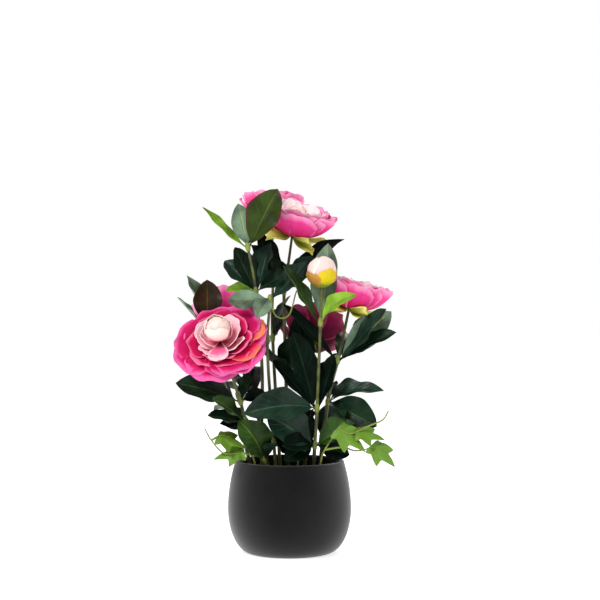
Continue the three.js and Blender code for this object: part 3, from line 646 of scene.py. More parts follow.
def petal_tree(petal):
    tree = geometry_tree("petal_rings", tree_inputs(petal, PETAL_INPUTS), PETAL_TINTS)
    geometry = sheets(tree)
    across, along, through, seed, length, width, begin, end, base = tree.stored(
        "across", "along", "through", "seed", "length", "width", "begin", "end", "base")
    rounding, taper, wrap, wrinkle, overlap = tree.stored(
        "rounding", "taper", "wrap", "ripple", "lift")
    foot, out, side, axis = tree.stored("foot", "out", "side", "axis", data_type="FLOAT_VECTOR")
    edge = abs(across)
    scallop = (across * RIM_WAVES + seed * RIM_SHIFT).sin() * tree.given("Scallop")
    reach = along * ((edge ** CORNER_POWER * -1.0 + scallop) * rounding + 1.0)
    turn = end - begin
    slope = begin + turn * reach
    radius = (slope.sin() - begin.sin()) / turn * length
    rise = (begin.cos() - slope.cos()) / turn * length + base
    spread = tree.step(reach, *WIDENING)
    half = width * 0.5 * spread * (taper * reach ** POINT_POWER * -1.0 + 1.0)
    angle = (half / (radius + WRAP_RADIUS * MM)).least(wrap) * across
    wave = ((across * LONG_WAVES + seed * LONG_SHIFT).sin()
            + (across * SHORT_WAVES + seed * SHORT_SHIFT).sin() * SHORT_SHARE)
    ripple = wrinkle * reach ** RIPPLE_POWER * wave
    tuck = overlap * across * reach ** OVERLAP_POWER
    rim_curl = wrinkle * tree.step(reach, WIDENING[1], 1.0) * RIM_CURL
    lift = ripple + tuck + rim_curl + through * (tree.given("Thickness") * 0.5)
    outward = radius - slope.sin() * lift
    position = tree.along(
        (foot, 1.0), (out, outward * angle.cos()), (side, outward * angle.sin()),
        (axis, rise + slope.cos() * lift))
    return finish_sheets(tree, geometry, position, PETAL_TINTS)


# The relief of the stems runs along them, as drawn out noise.
STREAK_STRETCH = 0.25
STREAK_SCALE = 420.0
STREAK_DETAIL = 3.0


def rod_tree(leaf):
    """Round rods along edges, with a radius at each point and a light relief."""
    tree = geometry_tree("rods", {"Sides": leaf.stem_sides, "Relief": leaf.relief}, ["Surface"])
    curve = tree.add("GeometryNodeMeshToCurve", {"Mesh": tree.given("Geometry")})
    ring = tree.add("GeometryNodeCurvePrimitiveCircle", {
        "Resolution": tree.given("Sides"), "Radius": 1.0})
    [thickness] = tree.stored("thickness")
    skin = tree.add("GeometryNodeCurveToMesh", {
        "Curve": curve.outputs[0], "Profile Curve": ring.outputs[0], "Scale": thickness,
        "Fill Caps": True})
    x, y, z = tree.split(tree.add("GeometryNodeInputPosition").outputs[0])
    grain = tree.noise(tree.vector(x, y, z * STREAK_STRETCH), STREAK_SCALE, STREAK_DETAIL) - 0.5
    normal = tree.add("GeometryNodeInputNormal").outputs[0]
    offset = tree.along((normal, grain * tree.given("Relief")))
    moved = tree.add("GeometryNodeSetPosition", {
        "Geometry": skin.outputs[0], "Offset": offset})
    smooth = tree.add("GeometryNodeSetShadeSmooth", {"Geometry": moved.outputs[0]})
    dressed = tree.add("GeometryNodeSetMaterial", {
        "Geometry": smooth.outputs[0], "Material": tree.given("Surface")})
    tree.feed(tree.exit.inputs[0], dressed.outputs[0])
    return tree.tree


# Node trees and finished materials, by name.
TREES = {}
SURFACES = {}

# Edges sharper than these stay sharp.
SHEET_EDGE = math.radians(50)
POT_EDGE = math.radians(40)


# Making plain meshes out of points and trees.
def link(piece):
    bpy.context.scene.collection.objects.link(piece)
    return piece


def solid(name, points, faces, surface, edge):
    """A smooth piece made of points and faces, with one finish."""
    mesh = bpy.data.meshes.new(name)
    mesh.from_pydata(points, [], faces)
    mesh.shade_smooth()
    mesh.set_sharp_from_angle(angle=edge)
    mesh.materials.append(SURFACES[surface])
    return link(bpy.data.objects.new(name, mesh))


def seeds(name, points, edges, values):
    """A mesh of points, each with its named values."""
    mesh = bpy.data.meshes.new(name)
    mesh.from_pydata(points, edges, [])
    for key, column in values.items():
        vectors = isinstance(column[0], Vector)
        layer = mesh.attributes.new(key, "FLOAT_VECTOR" if vectors else "FLOAT", "POINT")
        flat = [part for value in column for part in value] if vectors else column
        layer.data.foreach_set("vector" if vectors else "value", flat)
    return mesh


def grown(name, mesh, tree, values):
    """Runs a geometry tree over a mesh and keeps its plain result as a new object."""
    source = link(bpy.data.objects.new(name + "_seed", mesh))
    modifier = source.modifiers.new(name, "NODES")
    modifier.node_group = tree
    for item in tree.interface.items_tree:
        if item.in_out == "INPUT" and item.name in values:
            modifier[item.identifier] = values[item.name]
    graph = bpy.context.evaluated_depsgraph_get()
    made = bpy.data.meshes.new_from_object(
        source.evaluated_get(graph), preserve_all_data_layers=True, depsgraph=graph)
    bpy.data.objects.remove(source)
    bpy.data.meshes.remove(mesh)
    made.name = name
    if not made.polygons:
        raise RuntimeError(name + " came out empty")
    made.set_sharp_from_angle(angle=SHEET_EDGE)
    return link(bpy.data.objects.new(name, made))


def grown_sheets(name, rows, tree, settings, labels, tints):
    """Leaves or petals, one from each row of named values."""
    mesh = seeds(name, [row["foot"] for row in rows], [],
                 {key: [row[key] for row in rows] for key in rows[0]})
    values = tree_inputs(settings, labels)
    values.update({tint: SURFACES[tint] for tint in tints})
    return grown(name, mesh, TREES[tree], values)


def settle(piece, nodes):
    """Puts a finished piece in the frame, in place of its nodes."""
    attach(piece, "root")
    if nodes:
        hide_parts(*nodes)


# Curves through points, as the stems run.
TANGENT_STEP = 0.0001


def curve_point(points, share):
    """A point of the smooth curve through some points, at a share of its way."""
    spot = share * (len(points) - 1)
    i = min(int(spot), len(points) - 2)
    t = spot - i
    first, second = Vector(points[i]), Vector(points[i + 1])
    before = Vector(points[i - 1]) if i > 0 else first * 2 - second
    after = Vector(points[i + 2]) if i + 2 < len(points) else second * 2 - first
    leave, arrive = (second - before) / 2, (after - first) / 2
    return (first * (2 * t ** 3 - 3 * t ** 2 + 1) + leave * (t ** 3 - 2 * t ** 2 + t)
            + second * (3 * t ** 2 - 2 * t ** 3) + arrive * (t ** 3 - t ** 2))


def curve_tangent(points, share):
    low, high = max(0, share - TANGENT_STEP), min(1, share + TANGENT_STEP)
    return (curve_point(points, high) - curve_point(points, low)).normalized()


def stem_place(stem, point):
    """Where one point of a stem is, and which way the stem runs there."""
    points = STEMS[stem][1]
    share = point / (len(points) - 1)
    return curve_point(points, share), curve_tangent(points, share)


def direction(turn, rise):
    turn, rise = math.radians(turn), math.radians(rise)
    return Vector((math.cos(rise) * math.cos(turn), math.cos(rise) * math.sin(turn),
                   math.sin(rise)))


def leaf_face(ahead, roll):
    """The way a leaf's upper face looks, once it is rolled about its own length."""
    level = (UP - ahead * ahead.z).normalized()
    return Quaternion(ahead, math.radians(roll)) @ level


def rods(name, rows, steps, surface, sides, relief):
    """One mesh of rods; a row is its radii at both ends and its points."""
    points, edges, radii = [], [], []
    for (thick, thin), route in rows:
        count = steps * (len(route) - 1)
        for i in range(count + 1):
            share = i / count
            if i:
                edges.append((len(points) - 1, len(points)))
            points.append(curve_point(route, share) * MM)
            radii.append((thick + (thin - thick) * share) * MM)
    mesh = seeds(name, points, edges, {"thickness": radii})
    return grown(name, mesh, TREES["rods"], {
        "Sides": sides, "Relief": relief, "Surface": SURFACES[surface]})


# Finishes.
BLACK = (0, 0, 0, 1)


def surface_group(name, inputs):
    """A shader node group that puts out a colour, a roughness and a height."""
    return Tree(name, "ShaderNodeTree", inputs, {
        "Color": "NodeSocketColor", "Roughness": "NodeSocketFloat",
        "Height": "NodeSocketFloat"})


def put_out(group, colour, roughness, height):
    """Ends a finish's group with its three outputs."""
    for label, value in (("Color", colour), ("Roughness", roughness), ("Height", height)):
        group.feed(group.exit.inputs[label], value)
    return group.tree


def sheet_spot(group):
    """Where a point lies on its leaf or petal, how near the edge, and the sheet's own number."""
    u, v, _ = group.split(group.add("ShaderNodeUVMap", uv_map="sheet_map").outputs[0])
    return u, v, abs(u * 2.0 - 1.0), group.painted("seed")


# A leaf's lines. Each pair says where a thing starts and where it is full: for the rib, the
# red edge and the ends of the veins that is from the rib (0) to the edge (1).
RIB_SPAN = (0.075, 0.02)
EDGE_SPAN = (0.8, 1.0)
VEIN_END = (1.0, 0.5)
VEIN_SPAN = (0.3, 0.02)
VEIN_BEND = 0.8
VEIN_SLANT = 2.4
UNDER_SPAN = (0.2, -0.2)
RIB_STRENGTH = 0.85
VEIN_STRENGTH = 0.3
EDGE_COLOUR = (0.09, 0.02, 0.012, 1)
# A leaf's light and shade: one half is painted lighter, as the lit side of its fold, and its
# clouds and some whole leaves are lighter at random.
PAINTED_HALF_SPAN = (0.56, 0.44)
PAINTED_HALF_LIGHT = 0.35
LEAF_CLOUDS = 55.0
LEAF_DETAIL = 3.0
CLOUD_SPAN = (0.3, 0.7)
CLOUD_LIGHT = 0.8
LEAF_CHANCE = 0.3
LEAF_SHADE = 0.3
LEAF_WEAVE = 900.0
# Its roughness, alone and by its clouds, and the heights of its rib, veins and weave.
LEAF_ROUGHNESS = (0.26, 0.25)
RIB_RISE = -0.7
VEIN_DEPTH = 0.45
WEAVE_RISE = 0.12


def leaf_surface_group():
    """Veins, midrib, a red edge, a paler underside and a painted lighter half, from the leaf's own
    map.
    """
    group = surface_group("leaf_surface", {
        "Upper": BLACK, "Under": BLACK, "Rib": BLACK, "Veins": 7.5, "Edge": 0.0})
    u, v, across, seed = sheet_spot(group)
    rib = group.step(across, *RIB_SPAN)
    slant = across ** VEIN_BEND * VEIN_SLANT
    waves = abs(((v * group.given("Veins") - slant) * math.pi).sin())
    veins = group.step(waves, *VEIN_SPAN) * group.step(across, *VEIN_END)
    place = group.add("ShaderNodeTexCoord").outputs["Object"]
    clouds = group.noise(place, LEAF_CLOUDS, LEAF_DETAIL)
    under = group.step(group.painted("through"), *UNDER_SPAN)
    plain = group.blend(under, group.given("Upper"), group.given("Under"))
    lined = group.blend(rib * RIB_STRENGTH + veins * VEIN_STRENGTH, plain, group.given("Rib"))
    # Painted light: one half of each leaf is made lighter, as if its fold caught the light on that
    # side.
    light = (group.step(u, *PAINTED_HALF_SPAN) * PAINTED_HALF_LIGHT
             + group.step(clouds, *CLOUD_SPAN) * CLOUD_LIGHT)
    toned = group.toned(light + seed * LEAF_CHANCE + LEAF_SHADE, lined)
    warm = group.step(across, *EDGE_SPAN) * group.given("Edge")
    weave = group.noise(place, LEAF_WEAVE)
    plain_roughness, cloud_roughness = LEAF_ROUGHNESS
    return put_out(group, group.blend(warm, toned, EDGE_COLOUR),
                   clouds * cloud_roughness + plain_roughness,
                   rib * RIB_RISE - veins * VEIN_DEPTH + weave * WEAVE_RISE)


# A petal's look: the streaks along it, its clouds and weave, how late its sides take the
# rim's colour, how softly its foot's colour ends, and how far clouds and chance stir them.
STREAKS_ACROSS = 26.0
STREAKS_ALONG = 2.2
STREAK_SHIFT = 50.0
PETAL_CLOUDS = 60.0
PETAL_WEAVE = 1300.0
SIDE_SHARE = 0.94
FOOT_BLEND = 0.5
CLOUD_STIR = 0.2
CHANCE_STIR = 0.14
PETAL_LIGHT = 0.94
# Its roughness, alone and by its streaks, and the heights of its streaks and weave.
PETAL_ROUGHNESS = (0.56, 0.14)
PETAL_RISE = (0.6, 0.3)


def petal_surface_group():
    """Foot, middle and rim colours with fine streaks, from the petal's own map; a dark foot colour
    is painted shade.
    """
    group = surface_group("petal_surface", {
        "Foot": BLACK, "Middle": BLACK, "Rim": BLACK, "Streaks": 0.25, "Foot End": 0.8,
        "Rim Start": 0.6})
    u, v, across, seed = sheet_spot(group)
    lines = group.noise(
        group.vector(u * STREAKS_ACROSS, v * STREAKS_ALONG, seed * STREAK_SHIFT), 1.0)
    place = group.add("ShaderNodeTexCoord").outputs["Object"]
    clouds = group.noise(place, PETAL_CLOUDS)
    outer = v.most(across * SIDE_SHARE)
    end = group.given("Foot End")
    # Painted shade: on the darker tints the foot's colour stands for the shade between overlapping
    # petals.
    low = group.step(v + clouds * CLOUD_STIR - CLOUD_STIR / 2, end - FOOT_BLEND, end)
    stirred = (outer + clouds * CLOUD_STIR + seed * CHANCE_STIR
               - (CLOUD_STIR + CHANCE_STIR) / 2)
    high = group.step(stirred, group.given("Rim Start"), 1.0)
    body = group.blend(low, group.given("Foot"), group.given("Middle"))
    body = group.blend(high, body, group.given("Rim"))
    light = (lines - 0.5) * group.given("Streaks") + seed * CHANCE_STIR + PETAL_LIGHT
    weave = group.noise(place, PETAL_WEAVE)
    plain_roughness, streak_roughness = PETAL_ROUGHNESS
    streak_rise, weave_rise = PETAL_RISE
    return put_out(group, group.toned(light, body), lines * streak_roughness + plain_roughness,
                   lines * streak_rise + weave * weave_rise)


# A mottled coat: detail and roughness of its clouds and of its grain, where its clouds start
# and are full, how far its grain lightens it, and how far its clouds roughen it.
CLOUD_NOISE = (4.0, 0.55)
GRAIN_NOISE = (3.0, 0.6)
MOTTLE_SPAN = (0.36, 0.68)
GRAIN_LIGHT = 0.5
CLOUD_ROUGHNESS = 0.25


def mottle_group():
    """Two colours in soft clouds with a fine grain, from object coordinates."""
    group = surface_group("mottle", {
        "Base": BLACK, "Cloud": BLACK, "Cloud Scale": 20.0, "Grain Scale": 900.0,
        "Roughness": 0.6})
    place = group.add("ShaderNodeTexCoord").outputs["Object"]
    clouds = group.noise(place, group.given("Cloud Scale"), *CLOUD_NOISE)
    grain = group.noise(place, group.given("Grain Scale"), *GRAIN_NOISE)
    share = group.step(clouds, *MOTTLE_SPAN)
    tone = group.blend(share, group.given("Base"), group.given("Cloud"))
    light = grain * GRAIN_LIGHT + (1 - GRAIN_LIGHT / 2)
    roughness = group.given("Roughness") + (clouds - 0.5) * CLOUD_ROUGHNESS
    return put_out(group, group.toned(light, tone), roughness, grain)


def material(name, group, values, bump, relief, settings):
    """A material whose colour, roughness and relief come from a shader group."""
    made = bpy.data.materials.new(name)
    made.use_nodes = True
    nodes, links = made.node_tree.nodes, made.node_tree.links
    shader = nodes["Principled BSDF"]
    source = nodes.new("ShaderNodeGroup")
    source.node_tree = TREES[group]
    for key, value in values.items():
        source.inputs[key].default_value = value if isinstance(value, float) else (*value, 1)
    links.new(source.outputs["Color"], shader.inputs["Base Color"])
    links.new(source.outputs["Roughness"], shader.inputs["Roughness"])
    height = nodes.new("ShaderNodeBump")
    height.inputs["Strength"].default_value = bump
    height.inputs["Distance"].default_value = relief * MM
    links.new(source.outputs["Height"], height.inputs["Height"])
    links.new(height.outputs["Normal"], shader.inputs["Normal"])
    for key, value in settings.items():
        shader.inputs[key].default_value = value
    SURFACES[name] = made


# Strength of a leaf's and a petal's relief, and its height in millimetres.
LEAF_BUMP = (0.8, 0.7)
PETAL_BUMP = (0.35, 0.3)
# Gloss of the petals, of most leaves and of the tints that differ; the near-black painted-shade
# leaves keep very little gloss.
PETAL_GLOSS = 0.1
LEAF_GLOSS = 0.13
TINT_GLOSS = {"black": 0.05, "blue": 0.2}
# How red the edges of a tint are, where they are red at all.
RED_EDGES = {"rust": 0.75}
SHEEN_ROUGHNESS = 0.5
# The pot's coat is matte, and pale where it turns away.
POT_SHEEN = {"Specular IOR Level": 0.03, "Sheen Weight": 0.42,
             "Sheen Roughness": SHEEN_ROUGHNESS}
# Cloud colours of the filling, the collars and the lobed leaves.
MOSS_CLOUD = (0.035, 0.03, 0.012)
COLLAR_CLOUD = (0.16, 0.2, 0.03)
SPRIG_CLOUD = (0.12, 0.26, 0.02)


def make_surfaces(scene):
    """Builds every node group and material once."""
    pot, leaf, petal = scene.camellia_pot, scene.camellia_leaf, scene.camellia_petal
    TREES.update({
        "leaf_spray": leaf_tree(leaf), "petal_rings": petal_tree(petal),
        "rods": rod_tree(leaf), "leaf_surface": leaf_surface_group(),
        "petal_surface": petal_surface_group(), "mottle": mottle_group()})
    for tint, (upper, under, rib) in LEAF_TINTS.items():
        material(tint, "leaf_surface", {
            "Upper": upper, "Under": under, "Rib": rib, "Edge": RED_EDGES.get(tint, 0.0)},
            *LEAF_BUMP, {"Specular IOR Level": TINT_GLOSS.get(tint, LEAF_GLOSS)})
    for tint, (foot, middle, rim, end, start) in PETAL_TINTS.items():
        material(tint, "petal_surface", {
            "Foot": foot, "Middle": middle, "Rim": rim, "Foot End": end, "Rim Start": start},
            *PETAL_BUMP, {"Sheen Weight": petal.sheen, "Sheen Roughness": SHEEN_ROUGHNESS,
                          "Specular IOR Level": PETAL_GLOSS})
    # Name, base, cloud, scales of cloud and grain, roughness, bump, its height in millimetres
    # and the other values that the finish needs.
    for name, base, cloud, wide, fine, rough, bump, relief, settings in (
            ("pot_coat", pot.glaze, pot.bloom, 26.0, 700.0, 0.46, 0.25, 0.12, POT_SHEEN),
            ("filling_moss", pot.earth, MOSS_CLOUD, 90.0, 500.0, 0.9, 1.0, 2, {}),
            ("stem_coat", leaf.stem_colour, leaf.stem_shade, 60.0, 1500.0, 0.5, 0.4, 0.3, {}),
            ("collar_coat", leaf.collar_colour, COLLAR_CLOUD, 120.0, 1500.0, 0.5, 0.4, 0.3, {}),
            ("sprig_leaf", leaf.sprig_colour, SPRIG_CLOUD, 70.0, 1200.0, 0.5, 0.4, 0.3, {})):
        material(name, "mottle", {"Base": base, "Cloud": cloud, "Cloud Scale": wide,
                                  "Grain Scale": fine, "Roughness": rough},
                 bump, relief, settings)


# The pot's shoulder, its floor, how much thicker its wall is at the foot, and the steps of
# its profile.
SHOULDER_POWER = 1.9
POT_FLOOR = 7 * MM
POT_HEEL = 3 * MM
BELLY_STEPS = 24
SHOULDER_STEPS = 16
LIP_STEPS = 12
INSIDE_STEPS = 12
# The filling's gap to the pot, the rise of its dome, the steps of its side and of its top, and
# how far chance moves its crumbs, in millimetres.
FILLING_GAP = 0.4 * MM
FILLING_DOME = 3 * MM
FILLING_STEPS = 8
FILLING_RINGS = 22
FILLING_SIDES = 90
CRUMBLE = (-0.9, 1.1)
FILLING_CHANCE = 11


def pot_radius(pot, height):
    if height < pot.belly_height:
        share = 1 - height / pot.belly_height
        grow = pot.belly_radius - pot.foot_radius
        return pot.foot_radius + grow * math.sqrt(max(0, 1 - share * share))
    share = (height - pot.belly_height) / (pot.height - pot.belly_height)
    return pot.belly_radius - (pot.belly_radius - pot.rim_radius) * share ** SHOULDER_POWER


def inner_radius(pot, height, gap):
    heel = max(0, 1 - height / pot.belly_height) * POT_HEEL
    return pot_radius(pot, height) - pot.wall - heel - gap


def pot_profile(pot):
    """From the edge of the underside, up the outside, over the lip and down to the floor."""
    profile = []
    for i in range(BELLY_STEPS + 1):
        height = pot.belly_height * (1 - math.cos(i / BELLY_STEPS * math.pi / 2))
        profile.append((pot_radius(pot, height), height))
    lip = pot.wall / 2
    top = pot.height - lip
    for i in range(1, SHOULDER_STEPS + 1):
        height = pot.belly_height + (top - pot.belly_height) * i / SHOULDER_STEPS
        profile.append((pot_radius(pot, height), height))
    middle = pot_radius(pot, top) - lip
    for i in range(1, LIP_STEPS + 1):
        angle = math.pi * i / LIP_STEPS
        profile.append((middle + lip * math.cos(angle), top + lip * math.sin(angle)))
    for i in range(1, INSIDE_STEPS + 1):
        height = top + (POT_FLOOR - top) * i / INSIDE_STEPS
        profile.append((inner_radius(pot, height, 0), height))
    return profile


def lathe(name, profile, sides, bottom, top, surface, ruffle=None):
    """A closed turned piece; bottom and top are the heights of its two poles."""
    points, faces = [], []
    for radius, height in profile:
        for j in range(sides):
            angle = 2 * math.pi * j / sides
            point = Vector((radius * math.cos(angle), radius * math.sin(angle), height))
            points.append(ruffle(point) if ruffle else point)
    last = (len(profile) - 1) * sides
    points += [Vector((0, 0, bottom)), Vector((0, 0, top))]
    for j in range(sides):
        k = (j + 1) % sides
        for row in range(0, last, sides):
            faces.append((row + j, row + k, row + sides + k, row + sides + j))
        faces.append((k, j, len(points) - 2))
        faces.append((last + j, last + k, len(points) - 1))
    return solid(name, points, faces, surface, POT_EDGE)


class CAMELLIA_OT_pot(bpy.types.Operator):
    """Make the matte pot"""
    bl_idname = "camellia.pot"
    bl_label = "Pot"

    def execute(self, context):
        pot = context.scene.camellia_pot
        piece = lathe("black_pot", pot_profile(pot), pot.sides, 0, POT_FLOOR, "pot_coat")
        settle(piece, ["pot"])
        return {"FINISHED"}


class CAMELLIA_OT_filling(bpy.types.Operator):
    """Make the crumbly filling that holds the stems"""
    bl_idname = "camellia.filling"
    bl_label = "Filling"

    def execute(self, context):
        pot = context.scene.camellia_pot
        chance = random.Random(FILLING_CHANCE)
        floor = POT_FLOOR + FILLING_GAP
        profile = []
        for i in range(FILLING_STEPS + 1):
            height = floor + (pot.filling_top - POT_FLOOR) * i / FILLING_STEPS
            profile.append((inner_radius(pot, height, FILLING_GAP), height))
        edge, level = profile[-1]
        for i in range(1, FILLING_RINGS):
            share = 1 - i / FILLING_RINGS
            profile.append((edge * share, level + FILLING_DOME * (1 - share * share)))

        def crumble(point):
            if point.z < pot.filling_top:
                return point
            return point + UP * chance.uniform(*CRUMBLE) * MM

        piece = lathe("filling_top", profile, FILLING_SIDES, floor, level + FILLING_DOME,
                      "filling_moss", crumble)
        settle(piece, ["filling"])
        return {"FINISHED"}


# Rings of a rod between two of its points, on the stems and on thinner rods.
STEM_STEPS = 9
THIN_STEPS = 6


class CAMELLIA_OT_stems(bpy.types.Operator):
    """Make the stems, each a tapering rod through its own points"""
    bl_idname = "camellia.stems"
    bl_label = "Stems"

    def execute(self, context):
        leaf = context.scene.camellia_leaf
        piece = rods("stems", STEMS.values(), STEM_STEPS, "stem_coat", leaf.stem_sides,
                     leaf.relief)
        settle(piece, list(STEMS))
        return {"FINISHED"}


# A collar's length, its radius at its foot, middle and top, and its relief.
COLLAR_LENGTH = 9.0
COLLAR_RADII = [2.3, 3.0, 1.9]
COLLAR_RELIEF = 0.3 * MM


def collar_rows():
    """Short fat rods round the stems under each whorl."""
    rows = []
    for stem, point, _leaves in WHORLS.values():
        centre, axis = stem_place(stem, point)
        low = centre - axis * COLLAR_LENGTH / 2
        high = centre + axis * COLLAR_LENGTH / 2
        rows += [(COLLAR_RADII[:2], [low, centre]), (COLLAR_RADII[1:], [centre, high])]
    return rows


class CAMELLIA_OT_collars(bpy.types.Operator):
    """Make the collars under the whorls and the runner that hangs from one of them"""
    bl_idname = "camellia.collars"
    bl_label = "Collars"

    def execute(self, context):
        leaf = context.scene.camellia_leaf
        piece = rods("collars", [*collar_rows(), RUNNER], THIN_STEPS, "collar_coat",
                     leaf.stem_sides, COLLAR_RELIEF)
        settle(piece, [])
        return {"FINISHED"}


# A leaf starts this far from the middle of its stem, and is curled and twisted by chance.
LEAF_ROOT = 2.4
LEAF_CURL = (-0.08, 0.02)
LEAF_TWIST = 22


def leaf_values(names):
    """The leaves of some whorls as points with named values."""
    tints = list(LEAF_TINTS)
    rows = []
    for name in names:
        chance = random.Random(name)
        stem, point, leaves = WHORLS[name]
        centre, axis = stem_place(stem, point)
        for turn, rise, length, width, arch, roll, tint in leaves:
            ahead = direction(turn, rise)
            outward = (ahead - axis * ahead.dot(axis)).normalized()
            face = leaf_face(ahead, roll)
            rows.append({
                "foot": (centre + outward * LEAF_ROOT) * MM, "ahead": ahead, "face": face,
                "side": ahead.cross(face), "length": length * MM, "width": width * MM,
                "arch": float(arch), "curl": chance.uniform(*LEAF_CURL),
                "twist": math.radians(chance.uniform(-LEAF_TWIST, LEAF_TWIST)),
                "seed": chance.random(), "tint": float(tints.index(tint))})
    return rows


class CAMELLIA_OT_leaves(bpy.types.Operator):
    """Make the whorls of leaves, in one piece for each part of the crown"""
    bl_idname = "camellia.leaves"
    bl_label = "Leaves"

    def execute(self, context):
        for name, whorls in LEAF_PIECES.items():
            piece = grown_sheets(name, leaf_values(whorls), "leaf_spray",
                                 context.scene.camellia_leaf, LEAF_INPUTS, LEAF_TINTS)
            settle(piece, whorls)
        return {"FINISHED"}


# Rings that turn in further than this close over the heart and all end alike.
CLOSED = 150
# How far round the bloom half a petal may wrap, and how much a sepal narrows to its point.
PETAL_WRAP = 1.25
SEPAL_TAPER = 0.85
# How far chance may turn a petal or open it, in degrees, and change its length and width.
PETAL_SWAY = 6
PETAL_LENGTHS = (0.95, 1.03)
PETAL_WIDTHS = (0.94, 1.06)
# Where the draws for the open blooms and for the bud start.
BLOOM_CHANCE = 3
BUD_CHANCE = 8


def petal_values(foot, axis, size, rings, chance):
    """The petals of some rings as points with named values."""
    tints = list(PETAL_TINTS)
    axis = Vector(axis).normalized()
    right = (Vector((1, 0, 0)) - axis * axis.x).normalized()
    depth = axis.cross(right)
    rows = []
    for count, start, length, width, base, begin, end, ripple, lift, rounding, tint in rings:
        for i in range(count):
            angle = math.radians(start + 360 * i / count + chance.uniform(-PETAL_SWAY, PETAL_SWAY))
            out = right * math.cos(angle) + depth * math.sin(angle)
            rows.append({
                "foot": foot * MM, "out": out, "axis": axis, "side": out.cross(axis),
                "length": length * size * MM * chance.uniform(*PETAL_LENGTHS),
                "width": width * size * MM * chance.uniform(*PETAL_WIDTHS),
                "base": base * size * MM, "begin": math.radians(begin),
                "end": math.radians(
                    end + (chance.uniform(-PETAL_SWAY, PETAL_SWAY) if end < CLOSED else 0)),
                "wrap": PETAL_WRAP, "ripple": ripple * size * MM, "lift": lift * size * MM,
                "rounding": float(rounding), "taper": SEPAL_TAPER if tint == "sepal" else 0.0,
                "seed": chance.random(), "tint": float(tints.index(tint))})
    return rows


def bloom_piece(name, node, rows, context):
    piece = grown_sheets(name, rows, "petal_rings", context.scene.camellia_petal,
                         PETAL_INPUTS, PETAL_TINTS)
    settle(piece, [node])


class CAMELLIA_OT_blooms(bpy.types.Operator):
    """Make the open blooms, each with rings of petals round a closed heart"""
    bl_idname = "camellia.blooms"
    bl_label = "Blooms"

    def execute(self, context):
        chance = random.Random(BLOOM_CHANCE)
        for name, (stem, axis, size, rings) in BLOOMS.items():
            foot = Vector(STEMS[stem][1][-1])
            rows = petal_values(foot, axis, size, rings, chance)
            bloom_piece(name + "_petals", name, rows, context)
        return {"FINISHED"}


class CAMELLIA_OT_bud(bpy.types.Operator):
    """Make the closed bud with its sepals"""
    bl_idname = "camellia.bud"
    bl_label = "Bud"

    def execute(self, context):
        foot = Vector(STEMS["stem_bud"][1][-1])
        rows = petal_values(foot, UP, 1.0, BUD_RINGS, random.Random(BUD_CHANCE))
        bloom_piece("bud_petals", "bud", rows, context)
        return {"FINISHED"}


# Points round and rings across a lobed leaf, half its thickness in millimetres, and as shares
# of its size how far it starts from its stalk's end, droops and ripples.
LOBE_STEPS = 66
LOBE_RINGS = 6
LOBE_HALF = 0.25
LOBE_START = 0.12
LOBE_DROOP = 0.25
LOBE_RIPPLE = 0.05
# Waves round its edge, and how sharp its lobes are.
LOBE_WAVES = 5
LOBE_POWER = 1.5
# A stalk's radius at its foot and tip, its sides and its relief.
STALK_RADII = [1.2, 0.6]
STALK_SIDES = 8
STALK_RELIEF = 0.15 * MM


def lobe_reach(angle):
    """How far a lobed leaf reaches at an angle, with rounded lobes."""
    for (low, near), (high, far) in zip(LOBES, LOBES[1:]):
        if low <= angle <= high:
            share = (angle - low) / (high - low)
            peak = share ** LOBE_POWER if far > near else 1 - (1 - share) ** LOBE_POWER
            return near + (far - near) * peak
    return LOBES[0][1]


def lobed_leaf(points, faces, row):
    """Adds one thin lobed leaf, both its faces and its rim."""
    x, y, z, turn, rise, size, roll = row
    ahead = direction(turn, rise)
    face = leaf_face(ahead, roll)
    left = face.cross(ahead)
    base = Vector((x, y, z))
    begin, end = LOBES[0][0], LOBES[-1][0]

    def place(angle, share, lift):
        reach = size * lobe_reach(angle) * share
        long = reach * math.cos(math.radians(angle)) + size * LOBE_START
        wide = reach * math.sin(math.radians(angle))
        droop = -LOBE_DROOP * (long * long + wide * wide) / size
        wave = LOBE_RIPPLE * size * share * share * math.cos(math.radians(angle * LOBE_WAVES))
        return (base + ahead * long + left * wide + face * (droop + wave + lift)) * MM

    first = len(points)
    span = LOBE_STEPS + 1
    side = 1 + LOBE_RINGS * span
    for lift in (LOBE_HALF, -LOBE_HALF):
        points.append(place(0, 0, lift))
        for ring in range(1, LOBE_RINGS + 1):
            for j in range(span):
                angle = begin + (end - begin) * j / LOBE_STEPS
                points.append(place(angle, ring / LOBE_RINGS, lift))
    rim = first + side - span
    for j in range(span):
        k = (j + 1) % span
        here = [(first, first + 1 + j, first + 1 + k)]
        for a in range(first + 1, rim, span):
            here.append((a + j, a + span + j, a + span + k, a + k))
        faces += here
        faces += [tuple(side + spot for spot in reversed(loop)) for loop in here]
        faces.append((rim + k, rim + j, rim + side + j, rim + side + k))


class CAMELLIA_OT_sprigs(bpy.types.Operator):
    """Make the lobed sprigs on their thin stalks"""
    bl_idname = "camellia.sprigs"
    bl_label = "Sprigs"

    def execute(self, context):
        for name, (stalks, leaves) in SPRIGS.items():
            rows = [(STALK_RADII, route) for route in stalks]
            piece = rods(name + "_stalks", rows, THIN_STEPS, "collar_coat", STALK_SIDES,
                         STALK_RELIEF)
            settle(piece, [])
            points, faces = [], []
            for row in leaves:
                lobed_leaf(points, faces, row)
            piece = solid(name + "_leaves", points, faces, "sprig_leaf", SHEET_EDGE)
            settle(piece, [name])
        return {"FINISHED"}


